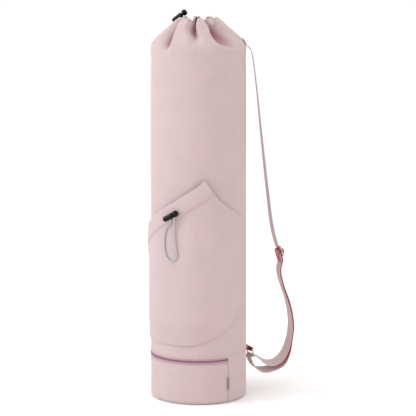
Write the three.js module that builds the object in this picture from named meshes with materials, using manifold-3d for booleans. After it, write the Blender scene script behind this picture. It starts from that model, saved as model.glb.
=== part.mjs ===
// A yoga mat bag: a tall round cloth bag with a drawn mouth, a cinched front pocket, a zipped lower
// compartment, a side zip and one adjustable webbing strap.
// Millimetres, +Z up. The origin is the middle of the base on the floor, and the front faces -Y.
// Angles go round the bag in degrees, from the front (0) towards +X (90).

import * as THREE from 'three';
import { mergeVertices } from 'three/addons/utils/BufferGeometryUtils.js';
import Module from 'manifold-3d';

// Sizes of the bag
const baseRadius = 86.2;
const shoulderRadius = 84;
const clothThickness = 1.8;
const sewnGap = 0.3;
const cornerRadius = 8;
const lowerHeight = 84;
const shoulderHeight = 596;
const gatherHeight = 85;
const mouthRadius = 33;
const mouthHoleRadius = 18;
const casingWidth = 23;
const casingThickness = 2.6;

// Sizes of the zips
const zipBandHeight = 10.6;
const zipStartAngle = -140;
const zipEndAngle = 38.2;
const zipTapeThickness = 1;
const zipTapeRecess = 0.6;
const zipCoilWidth = 3;
const zipCoilThickness = 2.2;
const sideZipAngle = -104;
const sideZipFoot = 112;
const sideZipLength = 176;
const sideZipWidth = 17;
const pullLength = 29;
const pullThickness = 1.3;
const gripLength = 14.5;

// Sizes of the pocket
const pocketLeftAngle = -96.5;
const pocketRightAngle = 68.5;
const pocketFootHeight = 108;
const pocketHeight = 293.5;
const pocketBulge = 14;
const pocketRuffles = 9;
const pocketRuffleDepth = 1;
const pocketCasingThickness = 3;

// Sizes of the tag in the seam of the lower compartment
const tagHeight = 22;
const tagReach = 4;
const tagThickness = 0.8;
const tagFootHeight = 25;

// Sizes of the strap and its metal parts
const webbingWidth = 25;
const webbingThickness = 1.5;
const strapReach = 93;
const strapTopAzimuth = -1.7;
const strapFootAzimuth = 20.3;
const metalWidth = 32;
const ringWire = 2.6;
const ringSpan = 14.6;
const sliderThickness = 2.2;
const sliderBar = 2.8;
const sliderSlot = 5.6;
const sliderHeight = 258;
const sewnTail = 22;

// Sizes of the cord locks and cords
const lockRadius = 4.8;
const lockLength = 20;
const lockBoreRadius = 3.5;
const lockBoreDepth = 12;
const buttonRadius = 5.5;
const buttonLength = 8;
const buttonTravel = 3;
const pocketCordDiameter = 2.7;
const topCordDiameter = 3;

// How finely the round cloth is divided
const roundColumns = 68;
const turnedSides = 48;
const lowerColumns = 28;
const lockSides = 12;
const cordSides = 8;

const wasm = await Module();
wasm.setup();

const radians = THREE.MathUtils.degToRad;
const mix = THREE.MathUtils.lerp;

const finishes = {
  cloth: { color: '#d9c0c2', roughness: 0.9, metalness: 0 },
  zip: { color: '#a98a90', roughness: 0.8, metalness: 0 },
  webbing: { color: '#dcc6c8', roughness: 0.85, metalness: 0 },
  redWebbing: { color: '#8a2a36', roughness: 0.85, metalness: 0 },
  tag: { color: '#7d7a7c', roughness: 0.7, metalness: 0 },
  metal: { color: '#b9b4b2', roughness: 0.3, metalness: 1 },
  grip: { color: '#5a2a34', roughness: 0.5, metalness: 0 },
  lock: { color: '#15151a', roughness: 0.35, metalness: 0 },
  cord: { color: '#b4b3b6', roughness: 0.8, metalness: 0 },
};

// A point at a radius, an angle round the bag and a height.
function around(radius, angle, height) {
  return new THREE.Vector3(
    radius * Math.sin(radians(angle)),
    -radius * Math.cos(radians(angle)),
    height,
  );
}

// Reads a table as a smooth curve: the value of one named column at a position in another.
function readTable(rows, key, column, at) {
  const last = rows.length - 1;
  const clamped = THREE.MathUtils.clamp(at, rows[0][key], rows[last][key]);
  let i = 0;
  while (i < last - 1 && clamped > rows[i + 1][key]) i += 1;
  const span = rows[i + 1][key] - rows[i][key];
  const t = (clamped - rows[i][key]) / span;
  const slope = (n) => {
    const before = rows[Math.max(n - 1, 0)];
    const after = rows[Math.min(n + 1, last)];
    return (after[column] - before[column]) / (after[key] - before[key]);
  };
  const t2 = t * t;
  const t3 = t2 * t;
  return (2 * t3 - 3 * t2 + 1) * rows[i][column]
    + (t3 - 2 * t2 + t) * span * slope(i)
    + (3 * t2 - 2 * t3) * rows[i + 1][column]
    + (t3 - t2) * span * slope(i + 1);
}

// Reads a table with straight lines between its rows.
function readStraight(rows, key, column, at) {
  let i = 0;
  while (i < rows.length - 2 && at > rows[i + 1][key]) i += 1;
  const t = (at - rows[i][key]) / (rows[i + 1][key] - rows[i][key]);
  return mix(rows[i][column], rows[i + 1][column], THREE.MathUtils.clamp(t, 0, 1));
}

// Positions with a number of equal steps between one row of a table and the next.
function stepsOf(rows, key, steps) {
  const stops = [];
  for (let i = 0; i < rows.length - 1; i += 1) {
    for (let n = 0; n < steps; n += 1) {
      stops.push(mix(rows[i][key], rows[i + 1][key], n / steps));
    }
  }
  stops.push(rows[rows.length - 1][key]);
  return stops;
}

// Turns a geometry's faces outwards and keeps only its points.
function outwards(geometry) {
  const bare = geometry.index ? geometry.toNonIndexed() : geometry;
  const solid = new THREE.BufferGeometry();
  solid.setAttribute('position', bare.getAttribute('position'));
  const merged = mergeVertices(solid, 1e-4);
  const points = merged.getAttribute('position');
  const corners = merged.index.array;
  const a = new THREE.Vector3();
  const b = new THREE.Vector3();
  const c = new THREE.Vector3();
  let volume = 0;
  for (let i = 0; i < corners.length; i += 3) {
    a.fromBufferAttribute(points, corners[i]);
    b.fromBufferAttribute(points, corners[i + 1]);
    c.fromBufferAttribute(points, corners[i + 2]);
    volume += a.dot(b.cross(c));
  }
  if (volume < 0) {
    for (let i = 0; i < corners.length; i += 3) {
      const second = corners[i + 1];
      corners[i + 1] = corners[i + 2];
      corners[i + 2] = second;
    }
  }
  merged.computeVertexNormals();
  return merged;
}

// A closed body of cloth between a grid of points on its face and one on its back.
// A round grid joins its last column to its first.
function clothBody(face, back, isRound = false) {
  const rows = face.length;
  const columns = face[0].length;
  const spans = isRound ? columns : columns - 1;
  const points = [...face.flat(), ...back.flat()];
  const onFace = (row, column) => row * columns + (column % columns);
  const onBack = (row, column) => rows * columns + onFace(row, column);
  const corners = [];
  const quad = (a, b, c, d) => corners.push(a, b, c, a, c, d);
  for (let row = 0; row < rows - 1; row += 1) {
    for (let column = 0; column < spans; column += 1) {
      const up = row + 1;
      const on = column + 1;
      quad(onFace(row, column), onFace(row, on), onFace(up, on), onFace(up, column));
      quad(onBack(row, column), onBack(up, column), onBack(up, on), onBack(row, on));
    }
  }
  const top = rows - 1;
  for (let column = 0; column < spans; column += 1) {
    const on = column + 1;
    quad(onFace(0, on), onFace(0, column), onBack(0, column), onBack(0, on));
    quad(onFace(top, column), onFace(top, on), onBack(top, on), onBack(top, column));
  }
  if (!isRound) {
    const end = columns - 1;
    for (let row = 0; row < rows - 1; row += 1) {
      const up = row + 1;
      quad(onFace(row, 0), onFace(up, 0), onBack(up, 0), onBack(row, 0));
      quad(onFace(up, end), onFace(row, end), onBack(row, end), onBack(up, end));
    }
  }
  const geometry = new THREE.BufferGeometry();
  geometry.setFromPoints(points);
  geometry.setIndex(corners);
  return outwards(geometry);
}

// A turned body: a profile of [radius, height] pairs swept round the Z axis.
function turnedBody(profile, sides) {
  const points = profile.map(([radius, height]) => new THREE.Vector2(radius, height));
  const geometry = new THREE.LatheGeometry(points, sides);
  geometry.rotateX(Math.PI / 2);
  return outwards(geometry);
}

// A cord: a round section carried along a smooth curve through its points.
function cordBody(points, diameter, steps) {
  const section = Array.from({ length: cordSides }, (_, n) => {
    const angle = (2 * Math.PI * n) / cordSides;
    return new THREE.Vector2(Math.cos(angle), Math.sin(angle)).multiplyScalar(diameter / 2);
  });
  const curve = new THREE.CatmullRomCurve3(points.map((p) => new THREE.Vector3(...p)));
  return outwards(new THREE.ExtrudeGeometry(new THREE.Shape(section), {
    steps,
    extrudePath: curve,
    bevelEnabled: false,
  }));
}

// Joins two closed geometries into one solid.
function joined(first, second) {
  const solidOf = (geometry) => new wasm.Manifold(new wasm.Mesh({
    numProp: 3,
    vertProperties: geometry.getAttribute('position').array,
    triVerts: new Uint32Array(geometry.index.array),
  }));
  const mesh = solidOf(first).add(solidOf(second)).getMesh();
  const geometry = new THREE.BufferGeometry();
  geometry.setAttribute('position', new THREE.BufferAttribute(mesh.vertProperties, 3));
  geometry.setIndex(new THREE.BufferAttribute(mesh.triVerts, 1));
  return outwards(geometry);
}

// A rectangle with round corners, as an outline to extrude.
function roundRectangle(width, height, radius, Outline = THREE.Shape) {
  const x = width / 2;
  const y = height / 2;
  const outline = new Outline();
  outline.moveTo(-x + radius, -y);
  outline.lineTo(x - radius, -y);
  outline.absarc(x - radius, -y + radius, radius, -Math.PI / 2, 0);
  outline.lineTo(x, y - radius);
  outline.absarc(x - radius, y - radius, radius, 0, Math.PI / 2);
  outline.lineTo(-x + radius, y);
  outline.absarc(-x + radius, y - radius, radius, Math.PI / 2, Math.PI);
  outline.lineTo(-x, -y + radius);
  outline.absarc(-x + radius, -y + radius, radius, Math.PI, 1.5 * Math.PI);
  return outline;
}

// An outline given a thickness, centred on its own plane.
function plateBody(outline, thickness, curveSegments = 1) {
  const geometry = new THREE.ExtrudeGeometry(outline, {
    depth: thickness,
    curveSegments,
    bevelEnabled: false,
  });
  geometry.translate(0, 0, -thickness / 2);
  return outwards(geometry);
}

const group = new THREE.Group();

// Adds a named piece with its own material.
function addPiece(name, geometry, finish, parent = group) {
  const mesh = new THREE.Mesh(geometry, new THREE.MeshStandardMaterial(finishes[finish]));
  mesh.name = name;
  parent.add(mesh);
  return mesh;
}

// The bag's wall
// Its outer radius narrows evenly from the base to the shoulder.
function wallRadius(height) {
  return mix(baseRadius, shoulderRadius, THREE.MathUtils.clamp(height / shoulderHeight, 0, 1));
}

// Slow waves of the barrel: how far the cloth swells at a share of the barrel's height, as a share
// of the cloth's thickness.
const barrelSwells = [
  { up: 0, swell: 0 },
  { up: 0.22, swell: 0.3 },
  { up: 0.5, swell: 0.1 },
  { up: 0.78, swell: 0.35 },
  { up: 1, swell: 0 },
];
const swellRoom = 0.35 * clothThickness;

// The gathers: each fold at the back runs in towards the mouth at its angle, spreads left and right by
// half widths in degrees, and is as deep as its share of the whole gather.
const backFolds = [
  { angle: -107, left: 19, right: 20, depth: 0.86 },
  { angle: 118, left: 18, right: 22, depth: 0.95 },
  { angle: 163, left: 21, right: 20, depth: 1 },
  { angle: 206, left: 19, right: 22, depth: 0.93 },
];

// The folds at the front bend and change their width. Each is a table of the share of the way to the
// rim, the angles where the fold starts, lies deepest and ends, and its depth there.
const frontFolds = [
  [
    { along: 0.18, start: -60, deepest: -46, end: -36, depth: 0 },
    { along: 0.32, start: -63, deepest: -44, end: -35, depth: 0.5 },
    { along: 0.45, start: -66, deepest: -44, end: -36, depth: 0.9 },
    { along: 0.6, start: -69, deepest: -47, end: -40, depth: 1 },
    { along: 0.8, start: -76, deepest: -55, end: -48, depth: 0.95 },
    { along: 1, start: -84, deepest: -66, end: -58, depth: 0.9 },
  ],
  [
    { along: 0.36, start: -12, deepest: -2, end: 9, depth: 0 },
    { along: 0.5, start: -15, deepest: -3, end: 8, depth: 0.4 },
    { along: 0.62, start: -20, deepest: -5, end: 5, depth: 0.75 },
    { along: 0.75, start: -28, deepest: -7, end: 0, depth: 1 },
    { along: 0.88, start: -33, deepest: -8, end: -3, depth: 1 },
    { along: 1, start: -34, deepest: -9, end: -3, depth: 1 },
  ],
  [
    { along: 0.28, start: 34, deepest: 55, end: 86, depth: 0 },
    { along: 0.34, start: 29, deepest: 46, end: 87, depth: 0.4 },
    { along: 0.42, start: 23, deepest: 36, end: 87, depth: 0.65 },
    { along: 0.52, start: 20, deepest: 30, end: 85, depth: 0.85 },
    { along: 0.65, start: 18.5, deepest: 26, end: 80, depth: 1 },
    { along: 0.75, start: 20, deepest: 26, end: 62, depth: 1 },
    { along: 0.86, start: 19, deepest: 24, end: 38, depth: 0.9 },
    { along: 1, start: 12, deepest: 18, end: 30, depth: 0.8 },
  ],
  [
    { along: 0.72, start: 34, deepest: 43, end: 56, depth: 0 },
    { along: 0.85, start: 36, deepest: 46, end: 58, depth: 0.6 },
    { along: 1, start: 38, deepest: 50, end: 62, depth: 0.8 },
  ],
];

// How far into a fold an angle lies, from 0 at its edges to 1 on its deepest line.
function acrossFold(angle, start, deepest, end) {
  const away = ((((angle - deepest) % 360) + 540) % 360) - 180;
  const halfWidth = away < 0 ? deepest - start : end - deepest;
  const share = Math.min(Math.abs(away) / halfWidth, 1);
  return Math.cos((share * Math.PI) / 2) ** 2;
}

// How deep in a fold a place lies, from 0 on a crest to 1 in the deepest valley.
function foldDepth(angle, along) {
  let depth = 0;
  for (const fold of backFolds) {
    const across = acrossFold(angle, fold.angle - fold.left, fold.angle, fold.angle + fold.right);
    depth = Math.max(depth, fold.depth * across * THREE.MathUtils.smoothstep(along, 0, 0.5));
  }
  for (const rows of frontFolds) {
    const at = (column) => readTable(rows, 'along', column, along);
    const across = acrossFold(angle, at('start'), at('deepest'), at('end'));
    depth = Math.max(depth, Math.max(at('depth'), 0) * across);
  }
  return depth;
}

// The crest and the valley of the gathers, as curves of radius and height from shoulder to rim.
// Their middle points are shares of the shoulder's radius and of the gathers' height.
const gatherCurve = (shares, endRadius, endRise) => new THREE.CubicBezierCurve(
  new THREE.Vector2(shoulderRadius, shoulderHeight),
  new THREE.Vector2(shares.firstOut * shoulderRadius, shoulderHeight + shares.firstUp * gatherHeight),
  new THREE.Vector2(shares.nextOut * shoulderRadius, shoulderHeight + shares.nextUp * gatherHeight),
  new THREE.Vector2(endRadius, shoulderHeight + endRise * gatherHeight),
);
const crestShares = { firstOut: 0.959, firstUp: 0.537, nextOut: 1.203, nextUp: 0.362 };
const valleyShares = { firstOut: 1, firstUp: 0.38, nextOut: 0.6, nextUp: 0.6 };
const valleyRise = 0.88;
const crest = gatherCurve(crestShares, mouthRadius, 1);
const valley = gatherCurve(valleyShares, mouthHoleRadius, valleyRise);

// The gathered cloth's radius and height at an angle and a share of the way to the rim.
function gatherPoint(angle, along) {
  return crest.getPointAt(along).lerp(valley.getPointAt(along), foldDepth(angle, along));
}

// Steep sides of a fold take more of the wall's thickness along the radius.
function gatherThickness(angle, along, thickness) {
  const step = 1.5;
  const rise = (gatherPoint(angle + step, along).x - gatherPoint(angle - step, along).x);
  const run = 2 * radians(step) * gatherPoint(angle, along).x;
  return thickness * Math.min(Math.hypot(1, rise / run), 1.7);
}

// A round stretch of gathered cloth between two shares of the way to the rim.
function gatheredGrid(from, to, rows, thickness) {
  const face = [];
  const back = [];
  for (let row = 0; row <= rows; row += 1) {
    const along = mix(from, to, row / rows);
    const slope = crest.getTangentAt(along);
    face.push([]);
    back.push([]);
    for (let column = 0; column < roundColumns; column += 1) {
      const angle = (360 * column) / roundColumns;
      const at = gatherPoint(angle, along);
      const depth = gatherThickness(angle, along, thickness);
      face[row].push(around(at.x, angle, at.y));
      back[row].push(around(at.x - depth * slope.y, angle, at.y + depth * slope.x));
    }
  }
  return { face, back };
}

const gatherLength = crest.getLength();
const casingStart = 1 - casingWidth / gatherLength;
const casingGap = sewnGap / gatherLength;

function barrelRow(height, swell, radiusInset) {
  const radius = wallRadius(height) + swell * clothThickness - radiusInset;
  return Array.from({ length: roundColumns }, (_, column) => (
    around(radius, (360 * column) / roundColumns, height)
  ));
}

function addMainWall() {
  const wallFoot = lowerHeight + sewnGap / 2;
  const { face, back } = gatheredGrid(0, casingStart - casingGap, 7, clothThickness);
  const barrel = barrelSwells.slice(0, -1);
  const rowAt = ({ up, swell }, inset) => barrelRow(mix(wallFoot, shoulderHeight, up), swell, inset);
  addPiece('main_wall', clothBody(
    [...barrel.map((row) => rowAt(row, 0)), ...face],
    [...barrel.map((row) => rowAt(row, clothThickness)), ...back],
    true,
  ), 'cloth');
  const rim = gatheredGrid(casingStart, 1, 3, casingThickness);
  addPiece('mouth_casing', clothBody(rim.face, rim.back, true), 'cloth');
}

// The lower compartment
// Its wall curls in under the bag to a seam with the base, half way round the corner.
function lowerRow(inset, height, angles) {
  const outer = wallRadius(height);
  return angles.map((angle) => around(outer - inset, angle, height));
}

function cornerRow(bend, inset, angles) {
  const curl = cornerRadius - inset;
  const radius = baseRadius - cornerRadius + curl * Math.cos(radians(bend));
  const height = cornerRadius - curl * Math.sin(radians(bend));
  return angles.map((angle) => around(radius, angle, height));
}

const cornerSeam = 45;
const cornerGap = THREE.MathUtils.radToDeg(sewnGap / cornerRadius);

function anglesBetween(from, to, steps) {
  return Array.from({ length: steps + 1 }, (_, n) => mix(from, to, n / steps));
}

function addLowerPanel(name, from, to, steps, topHeight) {
  const angles = anglesBetween(from, to, steps);
  const bends = [cornerSeam - cornerGap, cornerSeam / 2, 0];
  const rows = (inset) => [
    ...bends.map((bend) => cornerRow(bend, inset, angles)),
    lowerRow(inset, mix(cornerRadius, topHeight, 0.5), angles),
    lowerRow(inset, topHeight, angles),
  ];
  addPiece(name, clothBody(rows(0), rows(clothThickness)), 'cloth');
}

// A band round the bag between two heights and two angles, set out from the wall's face.
function bandBody(from, to, steps, foot, top, outset, thickness) {
  const angles = anglesBetween(from, to, steps);
  const row = (height, inset) => angles.map((angle) => (
    around(wallRadius(height) + outset - inset, angle, height)
  ));
  return clothBody([row(foot, 0), row(top, 0)], [row(foot, thickness), row(top, thickness)]);
}

const seamAngle = THREE.MathUtils.radToDeg(sewnGap / baseRadius);
const zipFoot = lowerHeight - zipBandHeight;
const zipMiddle = lowerHeight - zipBandHeight / 2;
const coilOutset = zipCoilThickness / 2 - zipTapeRecess;

function addLowerCompartment() {
  const basePoints = [[0, 0]];
  for (const bend of [90, 67.5, cornerSeam]) {
    basePoints.push([
      baseRadius - cornerRadius + cornerRadius * Math.cos(radians(bend)),
      cornerRadius - cornerRadius * Math.sin(radians(bend)),
    ]);
  }
  const innerCurl = cornerRadius - clothThickness;
  for (const bend of [cornerSeam, 67.5, 90]) {
    basePoints.push([
      baseRadius - cornerRadius + innerCurl * Math.cos(radians(bend)),
      cornerRadius - innerCurl * Math.sin(radians(bend)),
    ]);
  }
  basePoints.push([0, clothThickness]);
  addPiece('base_panel', turnedBody(basePoints, turnedSides), 'cloth');

  const backEnd = zipStartAngle + 360 - seamAngle / 2;
  const top = lowerHeight - sewnGap / 2;
  addLowerPanel('lower_front_panel', zipStartAngle + seamAngle / 2, zipEndAngle - seamAngle / 2, lowerColumns,
    zipFoot - sewnGap / 2);
  addLowerPanel('lower_back_panel', zipEndAngle + seamAngle / 2, backEnd, lowerColumns, top);

  const halfCoil = zipCoilWidth / 2;
  const tape = (name, foot, head) => addPiece(name, bandBody(
    zipStartAngle + seamAngle / 2, zipEndAngle - seamAngle / 2, lowerColumns,
    foot, head, -zipTapeRecess, zipTapeThickness,
  ), 'zip');
  tape('lower_zip_tape_lower', zipFoot + sewnGap / 2, zipMiddle - halfCoil - sewnGap);
  tape('lower_zip_tape_upper', zipMiddle + halfCoil + sewnGap, top);
  addPiece('lower_zip_coil', bandBody(
    zipStartAngle + seamAngle / 2, zipEndAngle - seamAngle / 2, lowerColumns,
    zipMiddle - halfCoil, zipMiddle + halfCoil, coilOutset, zipCoilThickness,
  ), 'zip');

  const dividerRadius = wallRadius(lowerHeight) - clothThickness - sewnGap;
  addPiece('compartment_divider', turnedBody([
    [0, lowerHeight - clothThickness / 2],
    [dividerRadius, lowerHeight - clothThickness / 2],
    [dividerRadius, lowerHeight + clothThickness / 2],
    [0, lowerHeight + clothThickness / 2],
  ], turnedSides), 'cloth');
}

// The tag: a small bare tab that stands on the lower compartment's vertical seam and leans left.
function addTag() {
  const root = wallRadius(tagFootHeight) + sewnGap;
  const tagLean = 40;
  const across = around(1, zipEndAngle - tagLean, 0);
  const foot = around(root, zipEndAngle, tagFootHeight);
  const face = [];
  const back = [];
  const side = new THREE.Vector3().crossVectors(across, new THREE.Vector3(0, 0, 1));
  for (const up of [0, tagHeight]) {
    const low = foot.clone().add(new THREE.Vector3(0, 0, up));
    const high = low.clone().addScaledVector(across, tagReach);
    face.push([low, high]);
    back.push([low, high].map((p) => p.clone().addScaledVector(side, -tagThickness)));
  }
  addPiece('side_tag', clothBody(face, back), 'tag');
}

// The zip slider and its pull, in a frame with the zip along -Y, the pull hanging along -Y and the
// cloth facing +Z. The pull turns about the X axis through the origin, under the slider's bridge.
const plateThickness = 1.4;
const bridgeGap = 2;
const bridgeThickness = 0.9;
const bridgeLength = 7;
const bridgeWidth = 1.8;
const eyeWidth = 3.4;
const eyeLength = 4.6;
const axleThickness = 1.2;
const plateLength = 9.5;
const plateWidth = 8;
const plateTop = -bridgeGap / 2;
const sliderStand = plateTop - plateThickness;

function addZipSlider(name, frame) {
  const plate = plateBody(roundRectangle(plateWidth, plateLength, 2.2), plateThickness);
  plate.translate(0, 0, plateTop - plateThickness / 2);
  const half = bridgeLength / 2;
  const bridge = new THREE.Shape();
  const rise = bridgeGap + bridgeThickness;
  const sunk = -0.2;
  bridge.moveTo(-half, sunk);
  bridge.lineTo(-half, rise - 1.2);
  bridge.lineTo(-half + 1.2, rise);
  bridge.lineTo(half - 1.2, rise);
  bridge.lineTo(half, rise - 1.2);
  bridge.lineTo(half, sunk);
  bridge.lineTo(half - bridgeThickness, sunk);
  bridge.lineTo(half - bridgeThickness, bridgeGap - 0.5);
  bridge.lineTo(half - 1.5, bridgeGap);
  bridge.lineTo(-half + 1.5, bridgeGap);
  bridge.lineTo(-half + bridgeThickness, bridgeGap - 0.5);
  bridge.lineTo(-half + bridgeThickness, sunk);
  bridge.closePath();
  const arch = plateBody(bridge, bridgeWidth);
  arch.rotateX(Math.PI / 2);
  arch.rotateZ(Math.PI / 2);
  arch.translate(0, 0, plateTop);
  addPiece(name, joined(plate, arch), 'metal', frame);
}

function addZipPull(name, gripName, frame) {
  const shankWidth = 3.6;
  const endWidth = 5.4;
  const eyeOuter = eyeWidth + 2 * axleThickness;
  const eyeFoot = -(eyeLength + axleThickness);
  const gripTop = eyeFoot - 1.6;
  const gripFoot = gripTop - gripLength;
  const foot = axleThickness / 2 - pullLength;
  const outline = new THREE.Shape();
  outline.moveTo(-eyeOuter / 2, axleThickness / 2);
  outline.lineTo(-eyeOuter / 2, eyeFoot + axleThickness / 2);
  outline.lineTo(-shankWidth / 2, gripTop + 0.3);
  outline.lineTo(-shankWidth / 2, gripFoot - 0.3);
  outline.lineTo(-endWidth / 2, gripFoot - 1.6);
  outline.lineTo(-endWidth / 2, foot + 1.6);
  outline.lineTo(-endWidth / 2 + 1.6, foot);
  outline.lineTo(endWidth / 2 - 1.6, foot);
  outline.lineTo(endWidth / 2, foot + 1.6);
  outline.lineTo(endWidth / 2, gripFoot - 1.6);
  outline.lineTo(shankWidth / 2, gripFoot - 0.3);
  outline.lineTo(shankWidth / 2, gripTop + 0.3);
  outline.lineTo(eyeOuter / 2, eyeFoot + axleThickness / 2);
  outline.lineTo(eyeOuter / 2, axleThickness / 2);
  outline.closePath();
  const eye = roundRectangle(eyeWidth, eyeLength, 0.5, THREE.Path);
  const shift = (hole, y) => {
    const path = new THREE.Path();
    path.setFromPoints(hole.getPoints(1).map((p) => new THREE.Vector2(p.x, p.y + y)));
    return path;
  };
  outline.holes.push(shift(eye, -axleThickness / 2 - eyeLength / 2));
  const endHole = roundRectangle(2, 2.2, 0.8, THREE.Path);
  outline.holes.push(shift(endHole, mix(gripFoot, foot, 0.52)));
  addPiece(name, plateBody(outline, pullThickness), 'metal', frame);

  const sleeve = roundRectangle(6.2, 3.2, 1);
  const bore = roundRectangle(shankWidth + 2 * sewnGap, pullThickness + 2 * sewnGap, 0.2, THREE.Path);
  sleeve.holes.push(bore);
  const grip = plateBody(sleeve, gripLength);
  grip.rotateX(Math.PI / 2);
  grip.translate(0, (gripTop + gripFoot) / 2, 0);
  addPiece(gripName, grip, 'grip', frame);
}

// A frame on the wall's face: its Z points out of the cloth and its Y points along the zip.
function wallFrame(radius, angle, height, turn) {
  const frame = new THREE.Group();
  const out = around(1, angle, 0);
  const up = new THREE.Vector3(0, 0, 1);
  const right = new THREE.Vector3().crossVectors(up, out);
  frame.matrix.makeBasis(right, up, out);
  frame.matrix.setPosition(around(radius, angle, height));
  frame.matrix.multiply(new THREE.Matrix4().makeRotationZ(radians(turn)));
  frame.matrix.decompose(frame.position, frame.quaternion, frame.scale);
  group.add(frame);
  return frame;
}

function addSideZip() {
  const top = sideZipFoot + sideZipLength;
  const halfBand = THREE.MathUtils.radToDeg(sideZipWidth / 2 / baseRadius);
  const halfCoil = THREE.MathUtils.radToDeg(zipCoilWidth / 2 / baseRadius);
  const tapeOutset = sewnGap + zipTapeThickness;
  const tape = (name, from, to) => addPiece(name, bandBody(
    from, to, 3, sideZipFoot, top, tapeOutset + swellRoom, zipTapeThickness,
  ), 'zip');
  tape('side_zip_tape_front', sideZipAngle + halfCoil + seamAngle, sideZipAngle + halfBand);
  tape('side_zip_tape_back', sideZipAngle - halfBand, sideZipAngle - halfCoil - seamAngle);
  const coilTop = sewnGap + swellRoom + zipCoilThickness;
  addPiece('side_zip_coil', bandBody(
    sideZipAngle - halfCoil, sideZipAngle + halfCoil, 2, sideZipFoot, top, coilTop, zipCoilThickness,
  ), 'zip');
  const height = top - plateLength;
  const radius = wallRadius(height) + coilTop + sewnGap - sliderStand;
  const frame = wallFrame(radius, sideZipAngle, height, 0);
  addZipSlider('side_zip_slider', frame);
  addZipPull('side_zip_pull', 'side_zip_grip', frame);
}

function addLowerZipSlider() {
  const sliderAngle = zipStartAngle + THREE.MathUtils.radToDeg(plateLength / baseRadius);
  const radius = wallRadius(zipMiddle) + coilOutset + sewnGap - sliderStand + 0.5;
  const frame = wallFrame(radius, sliderAngle, zipMiddle, 90);
  addZipSlider('lower_zip_slider', frame);
  addZipPull('lower_zip_pull', 'lower_zip_grip', frame);
}

// The pocket
// Each row is a place across the pocket, as a share of its width, with the heights of its foot and
// of its upper edge as shares of its height, and how far that edge stands out as a share of the bulge.
const pocketOutline = [
  { across: 0, foot: 0.014, top: 0.525, stand: 0 },
  { across: 0.07, foot: 0.009, top: 0.568, stand: 0.08 },
  { across: 0.17, foot: 0.005, top: 0.627, stand: 0.28 },
  { across: 0.326, foot: 0.002, top: 0.716, stand: 0.56 },
  { across: 0.474, foot: 0, top: 0.797, stand: 0.6 },
  { across: 0.553, foot: 0.009, top: 0.845, stand: 0.56 },
  { across: 0.634, foot: 0.027, top: 0.889, stand: 0.5 },
  { across: 0.683, foot: 0.044, top: 0.927, stand: 0.42 },
  { across: 0.743, foot: 0.068, top: 0.869, stand: 0.24 },
  { across: 0.82, foot: 0.107, top: 0.826, stand: 0.1 },
  { across: 0.9, foot: 0.147, top: 0.79, stand: 0.04 },
  { across: 1, foot: 0.164, top: 0.736, stand: 0 },
];

// The pocket's channel for its elastic: the lower edge is the panel's upper edge, and each row adds
// where the upper edge lies.
const pocketChannel = [
  { along: 0, lowAcross: 0, lowUp: 0.525, highAcross: 0, highUp: 0.637 },
  { along: 0.25, lowAcross: 0.17, lowUp: 0.627, highAcross: 0.15, highUp: 0.72 },
  { along: 0.48, lowAcross: 0.326, lowUp: 0.716, highAcross: 0.29, highUp: 0.797 },
  { along: 0.7, lowAcross: 0.474, lowUp: 0.797, highAcross: 0.43, highUp: 0.873 },
  { along: 0.81, lowAcross: 0.553, lowUp: 0.845, highAcross: 0.502, highUp: 0.916 },
  { along: 0.92, lowAcross: 0.634, lowUp: 0.889, highAcross: 0.575, highUp: 0.959 },
  { along: 1, lowAcross: 0.683, lowUp: 0.927, highAcross: 0.628, highUp: 1 },
];

// Dents and swells of the pocket: the middle as shares of its width and height, the half sizes in
// the same shares, and the depth as a share of the bulge.
const pocketDents = [
  { across: 0.47, up: 0.63, halfAcross: 0.085, halfUp: 0.2, depth: 0.24 },
  { across: 0.33, up: 0.52, halfAcross: 0.1, halfUp: 0.24, depth: -0.12 },
  { across: 0.63, up: 0.42, halfAcross: 0.14, halfUp: 0.2, depth: 0.1 },
  { across: 0.9, up: 0.2, halfAcross: 0.1, halfUp: 0.04, depth: 0.22 },
];

function pocketAngle(across) {
  return mix(pocketLeftAngle, pocketRightAngle, across);
}

// How far the pocket's back stands off the wall.
function pocketStand(across, up) {
  const foot = readTable(pocketOutline, 'across', 'foot', across);
  const top = readStraight(pocketOutline, 'across', 'top', across);
  const edge = readTable(pocketOutline, 'across', 'stand', across);
  const hug = THREE.MathUtils.smoothstep(across, -0.02, 0.3) * THREE.MathUtils.smoothstep(1 - across, 0, 0.3);
  const belly = hug * Math.sin(Math.PI * THREE.MathUtils.clamp(across, 0, 1)) ** 0.7;
  const rise = THREE.MathUtils.smoothstep(up, foot - 0.02, foot + 0.16);
  const fade = THREE.MathUtils.smoothstep(up, mix(foot, top, 0.35), top);
  let stand = pocketBulge * mix(belly * rise, edge, fade);
  for (const dent of pocketDents) {
    const x = (across - dent.across) / dent.halfAcross;
    const y = (up - dent.up) / dent.halfUp;
    const share = Math.max(1 - x * x - y * y, 0);
    stand -= pocketBulge * dent.depth * share * share;
  }
  return Math.max(stand, 0);
}

function pocketPoint(across, up, outset) {
  const height = pocketFootHeight + up * pocketHeight;
  const radius = wallRadius(height) + swellRoom + sewnGap + pocketStand(across, up) + outset;
  return around(radius, pocketAngle(across), height);
}

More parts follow.
